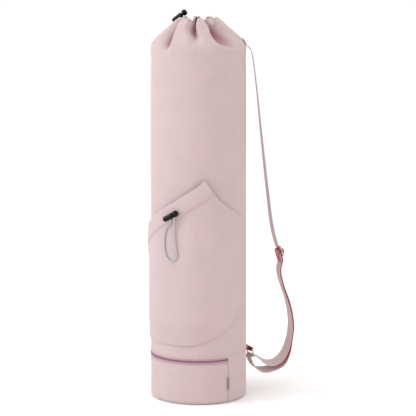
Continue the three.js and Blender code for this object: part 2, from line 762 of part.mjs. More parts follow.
function addPocket() {
  const columns = stepsOf(pocketOutline, 'across', 2);
  const rises = [0, 0.035, 0.09, 0.18, 0.3, 0.44, 0.58, 0.7, 0.8, 0.9, 1];
  const panelRow = (rise, outset) => columns.map((across) => {
    const foot = readTable(pocketOutline, 'across', 'foot', across);
    const top = readStraight(pocketOutline, 'across', 'top', across);
    return pocketPoint(across, mix(foot, top, rise), outset);
  });
  addPiece('pocket_panel', clothBody(
    rises.map((rise) => panelRow(rise, clothThickness)),
    rises.map((rise) => panelRow(rise, 0)),
  ), 'cloth');

  const stations = stepsOf(pocketChannel, 'along', 4);
  const gapShare = 0.012;
  const standAtMouth = 0.88;
  const channelRow = (climb, outset) => stations.map((along) => {
    const read = (column) => readTable(pocketChannel, 'along', column, along);
    const across = mix(read('lowAcross'), read('highAcross'), climb);
    const up = mix(read('lowUp'), read('highUp'), climb);
    const lowStand = pocketStand(read('lowAcross'), read('lowUp'));
    const ruffle = pocketRuffleDepth * Math.sin(2 * Math.PI * pocketRuffles * along)
      * Math.sin(Math.PI * along);
    const height = pocketFootHeight + up * pocketHeight;
    const stand = lowStand * mix(1, standAtMouth, climb) + ruffle * climb;
    const radius = wallRadius(height) + swellRoom + sewnGap + Math.max(stand, 0) + outset;
    return around(radius, pocketAngle(across), height);
  });
  const climbs = [gapShare, 0.5, 1];
  addPiece('pocket_casing', clothBody(
    climbs.map((climb) => channelRow(climb, pocketCasingThickness)),
    climbs.map((climb) => channelRow(climb, 0)),
  ), 'cloth');
}

// The strap
// Its path lies in upright planes through the bag's axis. Each row holds how far the webbing's
// middle stands out from the wall, as a share of the strap's reach, and how high it is above the
// lower compartment, as a share of the height from there to the rim.
const strapDown = [
  { out: 0.034, up: 0.9145 },
  { out: 0.064, up: 0.911 },
  { out: 0.095, up: 0.905 },
  { out: 0.117, up: 0.895 },
  { out: 0.142, up: 0.874 },
  { out: 0.17, up: 0.84 },
  { out: 0.2, up: 0.8 },
  { out: 0.235, up: 0.752 },
  { out: 0.283, up: 0.68 },
  { out: 0.336, up: 0.608 },
  { out: 0.391, up: 0.535 },
  { out: 0.454, up: 0.461 },
  { out: 0.529, up: 0.38 },
];
const strapOuter = [
  { out: 0.7, up: 0.232 },
  { out: 0.752, up: 0.187 },
  { out: 0.86, up: 0.14 },
  { out: 0.95, up: 0.092 },
  { out: 1, up: 0.047 },
  { out: 0.995, up: 0.006 },
  { out: 0.945, up: -0.034 },
  { out: 0.82, up: -0.066 },
  { out: 0.63, up: -0.079 },
  { out: 0.42, up: -0.083 },
  { out: 0.26, up: -0.074 },
  { out: 0.165, up: -0.055 },
  { out: 0.125, up: -0.035 },
];
const strapInner = [
  { out: 0.3, up: -0.04 },
  { out: 0.44, up: -0.057 },
  { out: 0.59, up: -0.064 },
  { out: 0.745, up: -0.057 },
  { out: 0.885, up: -0.034 },
  { out: 0.972, up: 0.006 },
  { out: 0.976, up: 0.046 },
  { out: 0.928, up: 0.089 },
  { out: 0.838, up: 0.136 },
  { out: 0.73, up: 0.184 },
  { out: 0.677, up: 0.231 },
];
const rimHeight = shoulderHeight + gatherHeight;

function strapPlace({ out, up }) {
  const height = mix(lowerHeight, rimHeight, up);
  return new THREE.Vector2(wallRadius(height) + out * strapReach, height);
}

// The azimuth of the strap's plane, from +X towards the back, at a height.
function strapAzimuth(height) {
  const up = THREE.MathUtils.clamp((height - lowerHeight) / (rimHeight - lowerHeight), 0, 1);
  return mix(strapFootAzimuth, strapTopAzimuth, up);
}

// A point of the strap's plane, moved sideways across the webbing.
function strapPoint(place, side) {
  const azimuth = radians(strapAzimuth(place.y));
  const out = new THREE.Vector3(Math.cos(azimuth), Math.sin(azimuth), 0);
  const across = new THREE.Vector3(-Math.sin(azimuth), Math.cos(azimuth), 0);
  return out.multiplyScalar(place.x).addScaledVector(across, side).setZ(place.y);
}

// Webbing along a path of places: a flat band whose width lies across the strap's plane.
function webbingBody(path) {
  const faces = [];
  const backs = [];
  path.forEach((place, n) => {
    const before = path[Math.max(n - 1, 0)];
    const after = path[Math.min(n + 1, path.length - 1)];
    const way = after.clone().sub(before).normalize();
    const stepIn = place.clone().sub(before).normalize();
    const stepOut = after.clone().sub(place).normalize();
    const bend = n === 0 || n === path.length - 1 ? 1 : Math.sqrt((1 + stepIn.dot(stepOut)) / 2);
    const lift = new THREE.Vector2(-way.y, way.x).multiplyScalar(webbingThickness / 2 / Math.max(bend, 0.6));
    const over = place.clone().add(lift);
    const under = place.clone().sub(lift);
    const half = webbingWidth / 2;
    faces.push([strapPoint(over, -half), strapPoint(over, half)]);
    backs.push([strapPoint(under, -half), strapPoint(under, half)]);
  });
  return clothBody(faces, backs);
}

// Points on an arc in the strap's plane, from one angle to another.
function arcPlaces(centre, radius, from, to, steps) {
  return anglesBetween(from, to, steps).map((angle) => new THREE.Vector2(
    centre.x + radius * Math.cos(radians(angle)),
    centre.y + radius * Math.sin(radians(angle)),
  ));
}

// The metal parts' places in the strap's plane
const sliderOut = 0.715;
const sliderMiddle = new THREE.Vector2(
  wallRadius(sliderHeight) + sliderOut * strapReach,
  sliderHeight,
);
const sliderLean = 17;
const ringTop = new THREE.Vector2(wallRadius(lowerHeight) + 0.132 * strapReach, lowerHeight - 6.5);
const ringLean = 16;
const ringWay = new THREE.Vector2(Math.sin(radians(ringLean)), -Math.cos(radians(ringLean)));
const ringFoot = ringTop.clone().addScaledVector(ringWay, ringSpan);

// A point beside the slider's centre bar: down along the slider, and out from the bag.
function sliderPlace(down, out) {
  const lean = radians(sliderLean);
  return new THREE.Vector2(
    sliderMiddle.x + down * Math.sin(lean) + out * Math.cos(lean),
    sliderMiddle.y - down * Math.cos(lean) + out * Math.sin(lean),
  );
}

const layerGap = 0.35;
const firstLayer = sliderThickness / 2 + layerGap + webbingThickness / 2;
const layerStep = webbingThickness + layerGap;
const firstPass = sliderBar / 2 + layerGap + webbingThickness / 2;

// A layer of webbing over the slider's centre bar: through the slots at a distance from the bar.
function overSlider(layer) {
  const pass = firstPass + layer * layerStep;
  const over = firstLayer + layer * layerStep;
  const corner = 0.9;
  return [
    sliderPlace(-pass, -sliderThickness / 2),
    sliderPlace(-pass, over - corner),
    sliderPlace(-pass + corner, over),
    sliderPlace(pass - corner, over),
    sliderPlace(pass, over - corner),
    sliderPlace(pass, -sliderThickness / 2),
  ];
}

function smoothPath(places, steps) {
  const flat = places.map((p) => new THREE.Vector3(p.x, p.y, 0));
  const curve = new THREE.CatmullRomCurve3(flat, false, 'centripetal');
  const path = [];
  for (let n = 0; n <= steps; n += 1) {
    const at = curve.getPoint(n / steps);
    path.push(new THREE.Vector2(at.x, at.y));
  }
  return path;
}

function addStrap() {
  const rest = sewnGap + webbingThickness / 2;
  const onCrest = (along) => {
    const at = crest.getPointAt(along);
    const way = crest.getTangentAt(along);
    return new THREE.Vector2(at.x + rest * way.y, at.y - rest * way.x);
  };
  const wrap = ringWire * Math.SQRT1_2 + layerGap + webbingThickness / 2;
  const insideBend = 1.3;
  const outerPass = firstPass + layerStep;
  const inner = firstLayer + layerStep;

  const enter = [
    sliderPlace(-outerPass - 14, -firstLayer - 0.6),
    sliderPlace(-outerPass - 5.5, -firstLayer - 0.1),
    sliderPlace(-outerPass - insideBend, -firstLayer + 0.2),
  ];
  const leave = [
    sliderPlace(outerPass + insideBend, -firstLayer + 0.2),
    sliderPlace(outerPass + 5.5, -firstLayer),
    sliderPlace(outerPass + 12, -firstLayer),
  ];
  const returning = [
    sliderPlace(outerPass + 12, -inner - 0.1),
    sliderPlace(outerPass + 5.5, -inner - 0.1),
    sliderPlace(firstPass + insideBend, -inner),
  ];
  const tailOut = -inner - layerStep - 0.1;
  const tail = [
    sliderPlace(-firstPass + 0.2, tailOut + insideBend),
    sliderPlace(-firstPass + insideBend + 0.4, tailOut),
    sliderPlace(0.5 * sewnTail, tailOut - 0.1),
    sliderPlace(sewnTail, tailOut - 0.1),
  ];

  const down = smoothPath([
    onCrest(0.46), onCrest(0.41), onCrest(0.36), ...strapDown.map(strapPlace), ...enter,
  ], 34);
  const outer = smoothPath([
    ...leave, ...strapOuter.map(strapPlace), ...arcPlaces(ringFoot, wrap, 190, 150, 1),
  ], 34);
  const overRing = arcPlaces(ringFoot, wrap, 125, 45, 3);
  const back = smoothPath([
    arcPlaces(ringFoot, wrap, 25, 0, 1)[0], ...strapInner.map(strapPlace), ...returning,
  ], 32);
  addPiece('strap_webbing', webbingBody([
    ...down,
    ...overSlider(1),
    ...outer,
    ...overRing,
    ...back,
    ...overSlider(0).reverse(),
    ...tail,
  ]), 'webbing');

  const tabRoot = wallRadius(lowerHeight) + sewnGap;
  const tab = [
    new THREE.Vector2(tabRoot, lowerHeight + 2.4),
    new THREE.Vector2(tabRoot + 3.6, lowerHeight + 1),
    ...arcPlaces(ringTop, wrap, 75, -90, 5),
    new THREE.Vector2(ringTop.x - 4.4, ringTop.y - 1.6),
    new THREE.Vector2(tabRoot + 3, lowerHeight - 2.6),
    new THREE.Vector2(tabRoot, lowerHeight - 1.2),
  ];
  addPiece('ring_tab', webbingBody(tab), 'redWebbing');
}

// A plate set in the strap's plane at a place, with its height down along a lean from upright.
function strapFrame(place, lean) {
  const azimuth = radians(strapAzimuth(place.y));
  const out = new THREE.Vector3(Math.cos(azimuth), Math.sin(azimuth), 0);
  const across = new THREE.Vector3(-Math.sin(azimuth), Math.cos(azimuth), 0);
  const up = new THREE.Vector3(0, 0, Math.cos(radians(lean)))
    .addScaledVector(out, -Math.sin(radians(lean)));
  const face = new THREE.Vector3().crossVectors(across, up);
  const frame = new THREE.Group();
  frame.matrix.makeBasis(across, up, face);
  frame.matrix.setPosition(strapPoint(place, 0));
  frame.matrix.decompose(frame.position, frame.quaternion, frame.scale);
  group.add(frame);
  return frame;
}

function addStrapMetal() {
  const ringMiddle = ringTop.clone().add(ringFoot).multiplyScalar(0.5);
  const ring = roundRectangle(metalWidth, ringSpan + ringWire, 3);
  ring.holes.push(roundRectangle(metalWidth - 2 * ringWire, ringSpan - ringWire, 1, THREE.Path));
  addPiece('strap_ring', plateBody(ring, ringWire), 'metal', strapFrame(ringMiddle, ringLean));

  const sliderFull = 3 * sliderBar + 2 * sliderSlot;
  const slider = roundRectangle(metalWidth, sliderFull, 3);
  const slotMiddle = (sliderBar + sliderSlot) / 2;
  for (const side of [-1, 1]) {
    const slot = roundRectangle(metalWidth - 2 * sliderBar, sliderSlot, 0.8, THREE.Path);
    const moved = new THREE.Path();
    moved.setFromPoints(slot.getPoints(1).map((p) => new THREE.Vector2(p.x, p.y + side * slotMiddle)));
    slider.holes.push(moved);
  }
  addPiece('strap_slider', plateBody(slider, sliderThickness), 'metal',
    strapFrame(sliderMiddle, sliderLean));
}

// The cord locks
// A lock is a barrel with a bore, and a button that slides into it. Its own Z runs from the
// barrel's closed end to the button.
function addCordLock(prefix, place, way) {
  const frame = new THREE.Group();
  frame.position.copy(place);
  frame.quaternion.setFromUnitVectors(new THREE.Vector3(0, 0, 1), way.clone().normalize());
  group.add(frame);
  const half = (lockLength + buttonTravel + buttonLength) / 2;
  const z = (along) => along - half;
  const boreFloor = lockLength - lockBoreDepth;
  addPiece(`${prefix}_lock_body`, turnedBody([
    [0, z(0)],
    [lockRadius - 1.4, z(0)],
    [lockRadius - 0.3, z(1.2)],
    [lockRadius, z(3.4)],
    [lockRadius, z(lockLength - 0.8)],
    [lockRadius - 0.6, z(lockLength)],
    [lockBoreRadius, z(lockLength)],
    [lockBoreRadius, z(boreFloor)],
    [0, z(boreFloor)],
  ], lockSides), 'lock', frame);
  const stemRadius = lockBoreRadius - sewnGap;
  const headFoot = lockLength + buttonTravel + sewnGap;
  const headTop = lockLength + buttonTravel + buttonLength;
  addPiece(`${prefix}_lock_button`, turnedBody([
    [0, z(boreFloor + buttonTravel + sewnGap)],
    [stemRadius, z(boreFloor + buttonTravel + sewnGap)],
    [stemRadius, z(headFoot)],
    [buttonRadius - 0.5, z(headFoot)],
    [buttonRadius, z(headFoot + 1)],
    [buttonRadius, z(headTop - 3)],
    [buttonRadius - 1.2, z(headTop - 0.9)],
    [buttonRadius - 3, z(headTop)],
    [0, z(headTop)],
  ], lockSides), 'lock', frame);
}

// The cords' routes, chosen points
const pocketCordPoints = [
  [-48.6, -90.9, 333.9], [-48.6, -90.6, 331.2], [-51.4, -87.2, 326.6], [-56, -82, 319],
  [-58.9, -79.7, 308], [-59.9, -79, 296], [-59.3, -80.9, 281], [-56.2, -84, 269],
  [-50.9, -87.4, 261.8], [-46, -89.6, 260.1], [-40.2, -91.1, 264.8], [-38.1, -90.6, 274.3],
  [-40.2, -88.7, 287.8], [-41.6, -87.8, 303.8], [-42.3, -88.6, 318], [-42.2, -91.6, 329],
  [-41.9, -94, 334.6], [-42.2, -94.3, 337.8],
];
const topCordPoints = [
  [-35, 31.9, 677.6], [-33.9, 35.7, 675.8], [-43, 48.2, 656.2], [-49.7, 55.2, 647.6],
  [-57.9, 62.2, 634.1], [-59.5, 62.9, 617.3], [-57.9, 64.3, 601.5], [-56.4, 66, 575],
  [-54.1, 68, 545], [-50.5, 70.8, 518], [-45.5, 74.2, 504], [-39.5, 77.6, 500],
  [-33.3, 80.4, 504], [-28.3, 82.2, 518], [-26.1, 82.9, 545], [-26.8, 82.5, 575],
  [-28.8, 81.4, 601.5], [-31.4, 79.3, 617.6], [-31.9, 69, 632.3], [-29.6, 55.8, 642.8],
  [-28.7, 46.8, 653.5], [-29, 36.1, 677.8], [-30.4, 30.3, 681.2],
];

function addCords() {
  addCordLock('pocket_cord', new THREE.Vector3(-48.2, -91, 340.6), new THREE.Vector3(24.1, -13, 15));
  addPiece('pocket_cord', cordBody(pocketCordPoints, pocketCordDiameter, 30), 'cord');
  addCordLock('top_cord', new THREE.Vector3(-33.2, 25.6, 681.8), new THREE.Vector3(0.76, -0.26, 0.6));
  addPiece('top_cord', cordBody(topCordPoints, topCordDiameter, 42), 'cord');
}

addMainWall();
addLowerCompartment();
addTag();
addSideZip();
addLowerZipSlider();
addPocket();
addStrap();
addStrapMetal();
addCords();

export default group;
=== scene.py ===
"""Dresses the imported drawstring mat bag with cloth, webbing, zips, cord locks and cords."""

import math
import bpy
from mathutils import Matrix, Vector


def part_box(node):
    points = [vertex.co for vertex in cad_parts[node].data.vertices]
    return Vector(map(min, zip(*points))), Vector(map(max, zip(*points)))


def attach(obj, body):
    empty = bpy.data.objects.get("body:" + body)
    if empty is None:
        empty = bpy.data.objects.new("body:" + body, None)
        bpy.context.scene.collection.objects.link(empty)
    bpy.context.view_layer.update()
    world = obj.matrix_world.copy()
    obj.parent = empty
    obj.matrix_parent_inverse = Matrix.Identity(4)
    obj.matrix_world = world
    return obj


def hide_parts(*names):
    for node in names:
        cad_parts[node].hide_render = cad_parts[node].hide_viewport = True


bl_info = {
    "name": "Mat Bag",
    "version": (1, 0, 0),
    "blender": (4, 5, 0),
    "location": "View3D > Sidebar > Mat Bag",
    "description": "Makes the cloth, webbing, zips and cord locks of a drawstring mat bag",
    "category": "Add Mesh",
}

from collections import namedtuple

import bmesh
import bpy
import numpy as np
from bpy.props import FloatProperty, FloatVectorProperty, PointerProperty
from mathutils import Vector

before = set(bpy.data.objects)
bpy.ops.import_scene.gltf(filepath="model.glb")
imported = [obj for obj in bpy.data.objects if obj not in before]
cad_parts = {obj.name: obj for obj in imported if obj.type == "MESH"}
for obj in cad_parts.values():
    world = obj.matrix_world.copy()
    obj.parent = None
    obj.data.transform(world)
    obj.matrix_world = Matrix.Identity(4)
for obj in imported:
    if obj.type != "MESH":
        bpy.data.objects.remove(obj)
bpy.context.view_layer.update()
RIM_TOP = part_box("mouth_casing")[1].z

MM = 0.001


def linear(code):
    """A colour's linear RGBA from its sRGB hex code: the sRGB curve undone, channel by channel."""
    shares = [int(code[i:i + 2], 16) / 255 for i in (1, 3, 5)]
    undone = [c / 12.92 if c <= 0.04045 else ((c + 0.055) / 1.055) ** 2.4 for c in shares]
    return (*undone, 1.0)


def length(name, description, default):
    """A length that a user can change, in metres."""
    return FloatProperty(name=name, description=description, default=default, unit="LENGTH", precision=4)


def turn(name, description, degrees):
    """An angle round the bag that a user can change, from the front towards the strap."""
    return FloatProperty(name=name, description=description, default=math.radians(degrees), subtype="ANGLE")


def colour(name, description, code):
    """A colour that a user can change, given as sRGB hex."""
    return FloatVectorProperty(
        name=name, description=description, default=linear(code), size=4, min=0, max=1, subtype="COLOR",
    )


class MatBagSizes(bpy.types.PropertyGroup):
    """Sizes of the bag's cloth."""

    base_radius: length("Base radius", "Outer radius of the bag at its base", 0.0862)
    shoulder_radius: length("Shoulder radius", "Outer radius where the gathers start", 0.084)
    shoulder_height: length("Shoulder height", "Height where the gathers start", 0.596)
    gather_height: length("Gather height", "Height of the gathers up to the rim", RIM_TOP - 0.596)
    mouth_radius: length("Mouth radius", "Radius of the rim on a crest of the gathers", 0.033)
    hole_radius: length("Hole radius", "Radius of the rim in a valley of the gathers", 0.018)
    cloth: length("Cloth", "Thickness of the bag's cloth", 0.0018)
    casing_width: length("Casing width", "Width of the drawcord's casing at the mouth", 0.023)
    casing: length("Casing", "Thickness of the casing", 0.0026)
    seam: length("Seam", "Gap between pieces that are sewn together", 0.0003)
    corner: length("Corner", "Radius of the curl under the bag", 0.008)
    lower_height: length("Lower height", "Height of the zipped lower compartment", 0.084)
    zip_band: length("Zip band", "Height of the lower compartment's zip", 0.0106)
    zip_start: turn("Zip start", "Where the lower zip starts at the back", -140)
    zip_end: turn("Zip end", "Where the lower zip ends at the vertical seam", 38.2)
    side_zip: turn("Side zip", "Where the side zip runs up the bag", -104)
    pocket_left: turn("Pocket left", "Where the pocket starts", -96.5)
    pocket_right: turn("Pocket right", "Where the pocket ends", 68.5)
    pocket_foot: length("Pocket foot", "Height of the pocket's lowest point", 0.108)
    pocket_height: length("Pocket height", "Height of the pocket up to its tip", 0.2935)
    pocket_bulge: length("Pocket bulge", "How far the pocket stands out of the wall", 0.014)
    webbing_width: length("Webbing width", "Width of the strap", 0.025)
    webbing: length("Webbing", "Thickness of the strap", 0.0015)
    strap_reach: length("Strap reach", "How far the strap's loop stands out of the wall", 0.093)
    pocket_cord: length("Pocket cord", "Diameter of the pocket's elastic cord", 0.0027)
    top_cord: length("Top cord", "Diameter of the mouth's drawcord", 0.003)


class MatBagColours(bpy.types.PropertyGroup):
    """Colours of the bag's materials."""

    cloth: colour("Cloth", "The bag's cloth", "#c0abaa")
    # Painted shade: the rosy colour that the cloth is drawn in down in the gathers, standing in for light
    # bounced between the folds.
    fold: colour("Fold", "The cloth down in a gather, where light only comes through pink cloth", "#8a4a58")
    tape: colour("Zip tape", "The woven tape of the zips", "#b2929a")
    coil: colour("Zip coil", "The nylon coil of the zips", "#8d6b76")
    strap_face: colour("Strap", "The strap's webbing", "#c9b3b3")
    # Painted shade: the rose red drawn on the webbing where the loop's layers face each other, standing in
    # for the light they bounce between them.
    strap_painted_shade: colour("Strap's inside", "The strap where its layers redden each other's light", "#b8404f")
    # Painted shade: the tab's deep red stands in for the pink webbing seen dark and reddened in shade under
    # the ring.
    tab: colour("Tab", "The webbing tab that holds the ring", "#9c1420")
    tag: colour("Tag", "The bare tag in the vertical seam", "#6f6d70")
    metal: colour("Metal", "Plated zinc of the ring, slider and zip sliders", "#b8b5b4")
    grip: colour("Grip", "Sleeves on the zip pulls", "#4d2029")
    lock: colour("Lock", "Moulded plastic of the cord locks", "#020203")
    cord: colour("Cord", "Braided cover of the elastic cords", "#b3b3b7")
    thread: colour("Thread", "Sewing thread", "#b79498")
    floor: colour("Floor", "The floor", "#fbfaf9")


def step(x, low, high):
    """Rises from 0 to 1 between low and high as 3t^2 - 2t^3 does, level at both ends."""
    t = np.clip((np.asarray(x, float) - low) / (high - low), 0, 1)
    return t * t * (3 - 2 * t)


def unit(vectors):
    """Vectors divided by their lengths."""
    return vectors / np.maximum(np.linalg.norm(vectors, axis=-1, keepdims=True), 1e-12)


def around(radius, degrees, height):
    """Points at a radius, an angle from the front (-Y) towards +X, and a height."""
    angle = np.radians(degrees)
    return np.stack(np.broadcast_arrays(radius * np.sin(angle), -radius * np.cos(angle), height), -1)


def table_curve(rows, key, column, at):
    """A table read as a smooth curve: cubic Hermite spans, each row's slope that of the line between
    its two neighbours."""
    keys = np.array([getattr(row, key) for row in rows], float)
    values = np.array([getattr(row, column) for row in rows], float)
    number = np.arange(len(keys))
    before = np.maximum(number - 1, 0)
    after = np.minimum(number + 1, len(keys) - 1)
    slopes = (values[after] - values[before]) / (keys[after] - keys[before])
    at = np.clip(at, keys[0], keys[-1])
    i = np.clip(np.searchsorted(keys, at, side="right") - 1, 0, len(keys) - 2)
    span = keys[i + 1] - keys[i]
    t = (at - keys[i]) / span
    return (
        (2 * t**3 - 3 * t**2 + 1) * values[i] + (t**3 - 2 * t**2 + t) * span * slopes[i]
        + (3 * t**2 - 2 * t**3) * values[i + 1] + (t**3 - t**2) * span * slopes[i + 1]
    )


def table_line(rows, key, column, at):
    """A table read with straight lines between its rows."""
    return np.interp(at, [getattr(row, key) for row in rows], [getattr(row, column) for row in rows])


def through(points, count):
    """A smooth line through points: a centripetal Catmull-Rom curve, in which the square roots of the
    spans weigh the tangents."""
    inner = np.asarray(points, float)
    p = np.vstack([2 * inner[0] - inner[1], inner, 2 * inner[-1] - inner[-2]])
    at = np.linspace(0, len(inner) - 1, count)
    i = np.minimum(at.astype(int), len(inner) - 2)
    t = (at - i)[:, None]
    a, b, c, d = p[i], p[i + 1], p[i + 2], p[i + 3]
    ab, bc, cd = (np.sqrt(np.linalg.norm(v, axis=1))[:, None] for v in (b - a, c - b, d - c))
    first = ((b - a) / ab - (c - a) / (ab + bc) + (c - b) / bc) * bc
    last = ((c - b) / bc - (d - b) / (bc + cd) + (d - c) / cd) * bc
    return (
        (2 * t**3 - 3 * t**2 + 1) * b + (t**3 - 2 * t**2 + t) * first
        + (3 * t**2 - 2 * t**3) * c + (t**3 - t**2) * last
    )


def run_length(points):
    """The distance run along a line at each of its points."""
    return np.concatenate([[0], np.cumsum(np.linalg.norm(np.diff(points, axis=0), axis=1))])


def read_line(values, run, at):
    """A line's values, known at runs along it, read at other runs with straight spans."""
    return np.stack([np.interp(at, run, values[:, axis]) for axis in range(values.shape[1])], -1)


def even(points, count):
    """A line's points spread evenly along its length."""
    run = run_length(points)
    return read_line(points, run, np.linspace(0, run[-1], count))


def grid_normals(points, is_round):
    """Each grid point's normal: the cross product of the steps to its neighbours across and up."""
    if is_round:
        across = np.roll(points, -1, 1) - np.roll(points, 1, 1)
    else:
        across = np.gradient(points, axis=1)
    return unit(np.cross(across, np.gradient(points, axis=0)))


class Sheets:
    """Grids of points that together make one mesh, with their UVs in metres and a shade of 0 to 1, which
    the materials draw as painted shade.
    """

    def __init__(self):
        self.points, self.corners, self.uvs, self.shades = [], [], [], []
        self.count = 0

    def add(self, points, uv=None, shade=0.0, is_round=False, turned=False):
        """Adds a grid. A round one joins its last column to its first, and a turned one faces the
        other way."""
        rows, columns = points.shape[:2]
        if uv is None:
            uv = grid_uv(points, is_round)
        spans = columns if is_round else columns - 1
        row, left = np.arange(rows - 1)[:, None], np.arange(spans)[None, :]
        right = left + 1
        loop = [(row, left), (row, right), (row + 1, right), (row + 1, left)]
        if turned:
            loop = loop[::-1]
        corners = np.stack([r * columns + c % columns for r, c in loop], -1).reshape(-1, 4)
        self.corners.append(corners + self.count)
        self.uvs.append(np.stack([uv[r, c] for r, c in loop], -2).reshape(-1, 2))
        self.points.append(points.reshape(-1, 3))
        self.shades.append(np.broadcast_to(shade, (rows, columns)).reshape(-1))
        self.count += rows * columns
        return self


def grid_uv(points, is_round):
    """UVs in metres: the run along the middle row and up the first column."""
    middle = points[len(points) // 2]
    if is_round:
        middle = np.vstack([middle, middle[:1]])
    u, v = run_length(middle), run_length(points[:, 0])
    return np.stack(np.broadcast_arrays(u[None, :], v[:, None]), -1)


def rimmed(middle, half, is_round, steps=3):
    """A sheet's middle surface and half thickness, with rows added past its open edges, where the half
    thickness falls to nothing as a quarter circle does."""
    quarter = np.linspace(0, math.pi / 2, steps + 1)[1:]
    normals = grid_normals(middle, is_round)

    def grow(grid, thick, normal, at_end):
        edge, inside = (grid[-1], grid[-2]) if at_end else (grid[0], grid[1])
        edge_half = thick[-1] if at_end else thick[0]
        edge_normal = normal[-1] if at_end else normal[0]
        out = unit(edge - inside)
        more = edge + out * edge_half[:, None] * np.sin(quarter)[:, None, None]
        thin = edge_half * np.cos(quarter)[:, None]
        same = np.broadcast_to(edge_normal, more.shape)
        parts = [(grid, more), (thick, thin), (normal, same)]
        if at_end:
            return [np.concatenate([old, new]) for old, new in parts]
        return [np.concatenate([new[::-1], old]) for old, new in parts]

    sheet = [middle, half, normals]
    for at_end in (False, True):
        sheet = grow(*sheet, at_end)
    if not is_round:
        sheet = [np.swapaxes(a, 0, 1) for a in sheet]
        for at_end in (False, True):
            sheet = grow(*sheet, at_end)
        sheet = [np.swapaxes(a, 0, 1) for a in sheet]
    return sheet


def add_sheet(sheets, middle, thickness, is_round=False, shade=0.0, steps=3):
    """Adds a closed sheet round a middle surface: its face and back, joined by half round edges."""
    half = np.broadcast_to(np.asarray(thickness, float) / 2, middle.shape[:2])
    full, thick, normals = rimmed(middle, half, is_round, steps)
    lift = normals * thick[..., None]
    uv = grid_uv(full, is_round)
    if np.ndim(shade):
        pad = ((steps, steps), (0, 0)) if is_round else ((steps, steps), (steps, steps))
        shade = np.pad(shade, pad, mode="edge")
    sheets.add(full + lift, uv, shade, is_round)
    sheets.add(full - lift, uv, shade, is_round, turned=True)
    return sheets


def add_piece(name, sheets, finish, body, nodes=()):
    """Makes a mesh piece of sheets: welds their edges, turns it outwards and ties it to its body."""
    points = np.vstack(sheets.points)
    corners = np.vstack(sheets.corners)
    mesh = bpy.data.meshes.new(name)
    mesh.vertices.add(len(points))
    mesh.vertices.foreach_set("co", points.astype(np.float32).ravel())
    mesh.loops.add(corners.size)
    mesh.loops.foreach_set("vertex_index", corners.astype(np.int32).ravel())
    mesh.polygons.add(len(corners))
    mesh.polygons.foreach_set("loop_start", np.arange(0, corners.size, 4, dtype=np.int32))
    mesh.update(calc_edges=True)
    layer = mesh.uv_layers.new(name="UVMap")
    layer.data.foreach_set("uv", np.vstack(sheets.uvs).astype(np.float32).ravel())
    # The shade attribute carries painted shade for the materials.
    shade = mesh.attributes.new("shade", "FLOAT", "POINT")
    shade.data.foreach_set("value", np.concatenate(sheets.shades).astype(np.float32))
    work = bmesh.new()
    work.from_mesh(mesh)
    bmesh.ops.remove_doubles(work, verts=work.verts, dist=2e-6)
    bmesh.ops.dissolve_degenerate(work, edges=work.edges, dist=1e-7)
    if work.calc_volume(signed=True) < 0:
        bmesh.ops.reverse_faces(work, faces=work.faces)
    work.to_mesh(mesh)
    work.free()
    mesh.shade_smooth()
    piece = bpy.data.objects.new(name, mesh)
    bpy.context.scene.collection.objects.link(piece)
    mesh.materials.append(finish)
    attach(piece, body)
    if nodes:
        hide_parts(*nodes)
    return piece


def ring_profile(radius, sides):
    """Points of a circle, one after the other."""
    angle = np.linspace(0, 2 * math.pi, sides, endpoint=False)
    return np.stack([np.cos(angle), np.sin(angle)], -1) * radius


def box_profile(width, thickness, radius, steps=3):
    """Points of a rectangle with round corners, one after the other."""
    quarter = np.linspace(0, math.pi / 2, steps + 1)
    corner = np.stack([np.cos(quarter), np.sin(quarter)], -1) * radius
    points = []
    for number, (x, y) in enumerate(((1, 1), (-1, 1), (-1, -1), (1, -1))):
        cosine, sine = round(math.cos(number * math.pi / 2)), round(math.sin(number * math.pi / 2))
        turned = corner @ np.array([[cosine, sine], [-sine, cosine]])
        points.append(turned + [x * (width / 2 - radius), y * (thickness / 2 - radius)])
    return np.vstack(points)


def carried(path, profile, across=None, is_loop=False, cap=0.0, cap_steps=4):
    """A profile carried along a path. Its x lies along across, or along a side that turns as little as
    it can from one point to the next. A cap shrinks it to a point over that length at each end."""
    if is_loop:
        way = unit(np.roll(path, -1, 0) - np.roll(path, 1, 0))
    else:
        way = unit(np.gradient(path, axis=0))
    if across is None:
        side = np.zeros_like(path)
        start = np.cross(way[0], [0.0, 0.0, 1.0])
        if np.linalg.norm(start) < 0.1:
            start = np.cross(way[0], [0.0, 1.0, 0.0])
        side[0] = unit(start)
        for n in range(1, len(path)):
            carried_on = side[n - 1] - way[n] * np.dot(side[n - 1], way[n])
            side[n] = carried_on / np.linalg.norm(carried_on)
    else:
        side = unit(across - way * np.sum(across * way, -1, keepdims=True))
    up = np.cross(way, side)
    scale = np.ones(len(path))
    if cap:
        quarter = np.linspace(0, math.pi / 2, cap_steps + 1)[1:]
        path = np.vstack([
            path[0] - way[0] * cap * np.sin(quarter[::-1])[:, None],
            path,
            path[-1] + way[-1] * cap * np.sin(quarter)[:, None],
        ])
        scale = np.concatenate([np.cos(quarter[::-1]), scale, np.cos(quarter)])
        side = np.vstack([np.repeat(side[:1], cap_steps, 0), side, np.repeat(side[-1:], cap_steps, 0)])
        up = np.vstack([np.repeat(up[:1], cap_steps, 0), up, np.repeat(up[-1:], cap_steps, 0)])
    sized = profile[None] * scale[:, None, None]
    return path[:, None] + side[:, None] * sized[..., :1] + up[:, None] * sized[..., 1:]


def add_tube(sheets, path, profile, across=None, is_loop=False, cap=0.0, shade=0.0):
    """Adds a profile carried along a path, round both ways where the path is a loop."""
    grid = carried(path, profile, across, is_loop, cap)
    if is_loop:
        grid = np.concatenate([grid, grid[:1]])
    return sheets.add(grid, shade=shade, is_round=True)


def turned_grid(profile, sides, origin, x_axis, y_axis, z_axis):
    """A profile of radius and height rows turned about an axis."""
    angle = np.linspace(0, 2 * math.pi, sides, endpoint=False)
    radius, height = profile[:, 0][:, None], profile[:, 1][:, None]
    out = np.cos(angle)[None, :, None] * x_axis + np.sin(angle)[None, :, None] * y_axis
    return origin + radius[..., None] * out + height[..., None] * z_axis


